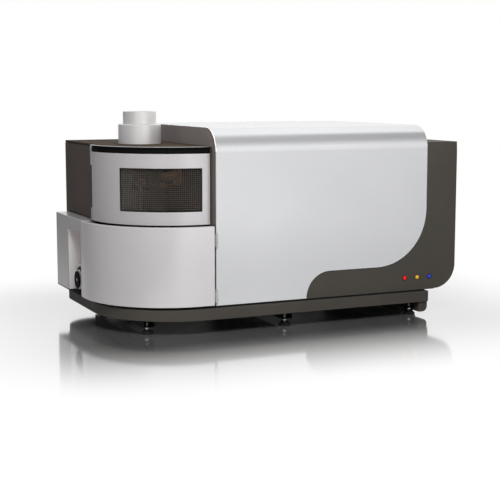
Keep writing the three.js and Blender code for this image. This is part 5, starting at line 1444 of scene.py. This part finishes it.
def dressWorld():
    world = bpy.data.worlds.new("studioWorld")
    bpy.context.scene.world = world
    world.use_nodes = True
    tree = world.node_tree
    tree.nodes.clear()
    # the backdrop is white; in reflections it dims at middle height in front, and to the left
    direction = addNode(tree, "TexCoord", {}, "Generated")
    front = addRange(tree, axisOf(tree, direction, "Y"), -0.15, 0.05, 1, 0)
    ceiling = mixColours(tree, front, white, addRamp(tree, axisOf(tree, direction, "Z"), studio["ceiling"]))
    around = addVector(tree, "DOT_PRODUCT", direction, studio["sideways"], "Value")
    sides = addRamp(tree, addRange(tree, around, -1, 1, 0, 1), studio["sides"])
    dimmed = mixColours(tree, 1, ceiling, sides, "MULTIPLY")
    seen = addNode(tree, "Background", {"Color": mixColours(tree, rayIs(tree, "Camera"), dimmed, white)})
    lighting = addNode(tree, "Background", {"Color": white, "Strength": studio["worldLight"]})
    mixed = addNode(tree, "MixShader", {0: rayMask(tree), 1: lighting, 2: seen})
    tree.links.new(mixed, tree.nodes.new("ShaderNodeOutputWorld").inputs["Surface"])


def addFloor():
    bpy.ops.mesh.primitive_plane_add(size=studio["floorSize"], location=(0, 0, -studio["floorDrop"]))
    floor = bpy.context.object
    floor.name = "studioFloor"
    finish = bpy.data.materials.new("paleTable")
    finish.use_nodes = True
    tree = finish.node_tree
    tree.nodes.remove(tree.nodes["Principled BSDF"])
    seen = rayMask(tree)
    grey = mixColours(tree, seen, studio["floorGrey"], studio["floorSeen"])
    matt = addNode(tree, "BsdfDiffuse", {"Color": grey})
    glow = addNode(tree, "Emission", {"Strength": addMath(tree, "MULTIPLY", seen, studio["floorLift"])})
    mirror = addNode(tree, "BsdfGlossy", {"Roughness": studio["floorRough"]}, distribution="MULTI_GGX")
    gloss = addRange(tree, addNode(tree, "LayerWeight", {}, "Facing"), 0.3, 0.72, *studio["floorGloss"])
    pale = addNode(tree, "AddShader", {0: matt, 1: glow})
    table = addNode(tree, "MixShader", {0: gloss, 1: pale, 2: mirror})
    # away from the machine the table melts into the white backdrop
    place = objectPlace(tree)
    outside = addVector(tree, "SUBTRACT", addVector(tree, "ABSOLUTE", place), studio["floorCore"])
    reach = addVector(tree, "LENGTH", addVector(tree, "MAXIMUM", outside), output="Value")
    far = addMath(tree, "MULTIPLY", addRange(tree, reach, *studio["floorFade"], 0, 1, "SMOOTHSTEP"), seen)
    sides = addRamp(tree, addRange(tree, axisOf(tree, place, "X"), -2.5, 4.5, 0, 1), studio["floorSides"])
    depth = addRamp(tree, addRange(tree, axisOf(tree, place, "Y"), -5, 0, 0, 1), studio["floorDepth"])
    shade = mixColours(tree, 1, sides, depth, "MULTIPLY")
    backdrop = addNode(tree, "Emission", {"Color": mixColours(tree, rayIs(tree, "Camera"), shade, white)})
    mixed = addNode(tree, "MixShader", {0: far, 1: table, 2: backdrop})
    tree.links.new(mixed, tree.nodes["Material Output"].inputs["Surface"])
    floor.data.materials.append(finish)


addCamera()
addLamps()
dressWorld()
addFloor()
bpy.context.scene.view_settings.view_transform = "Standard"
print("studio made")
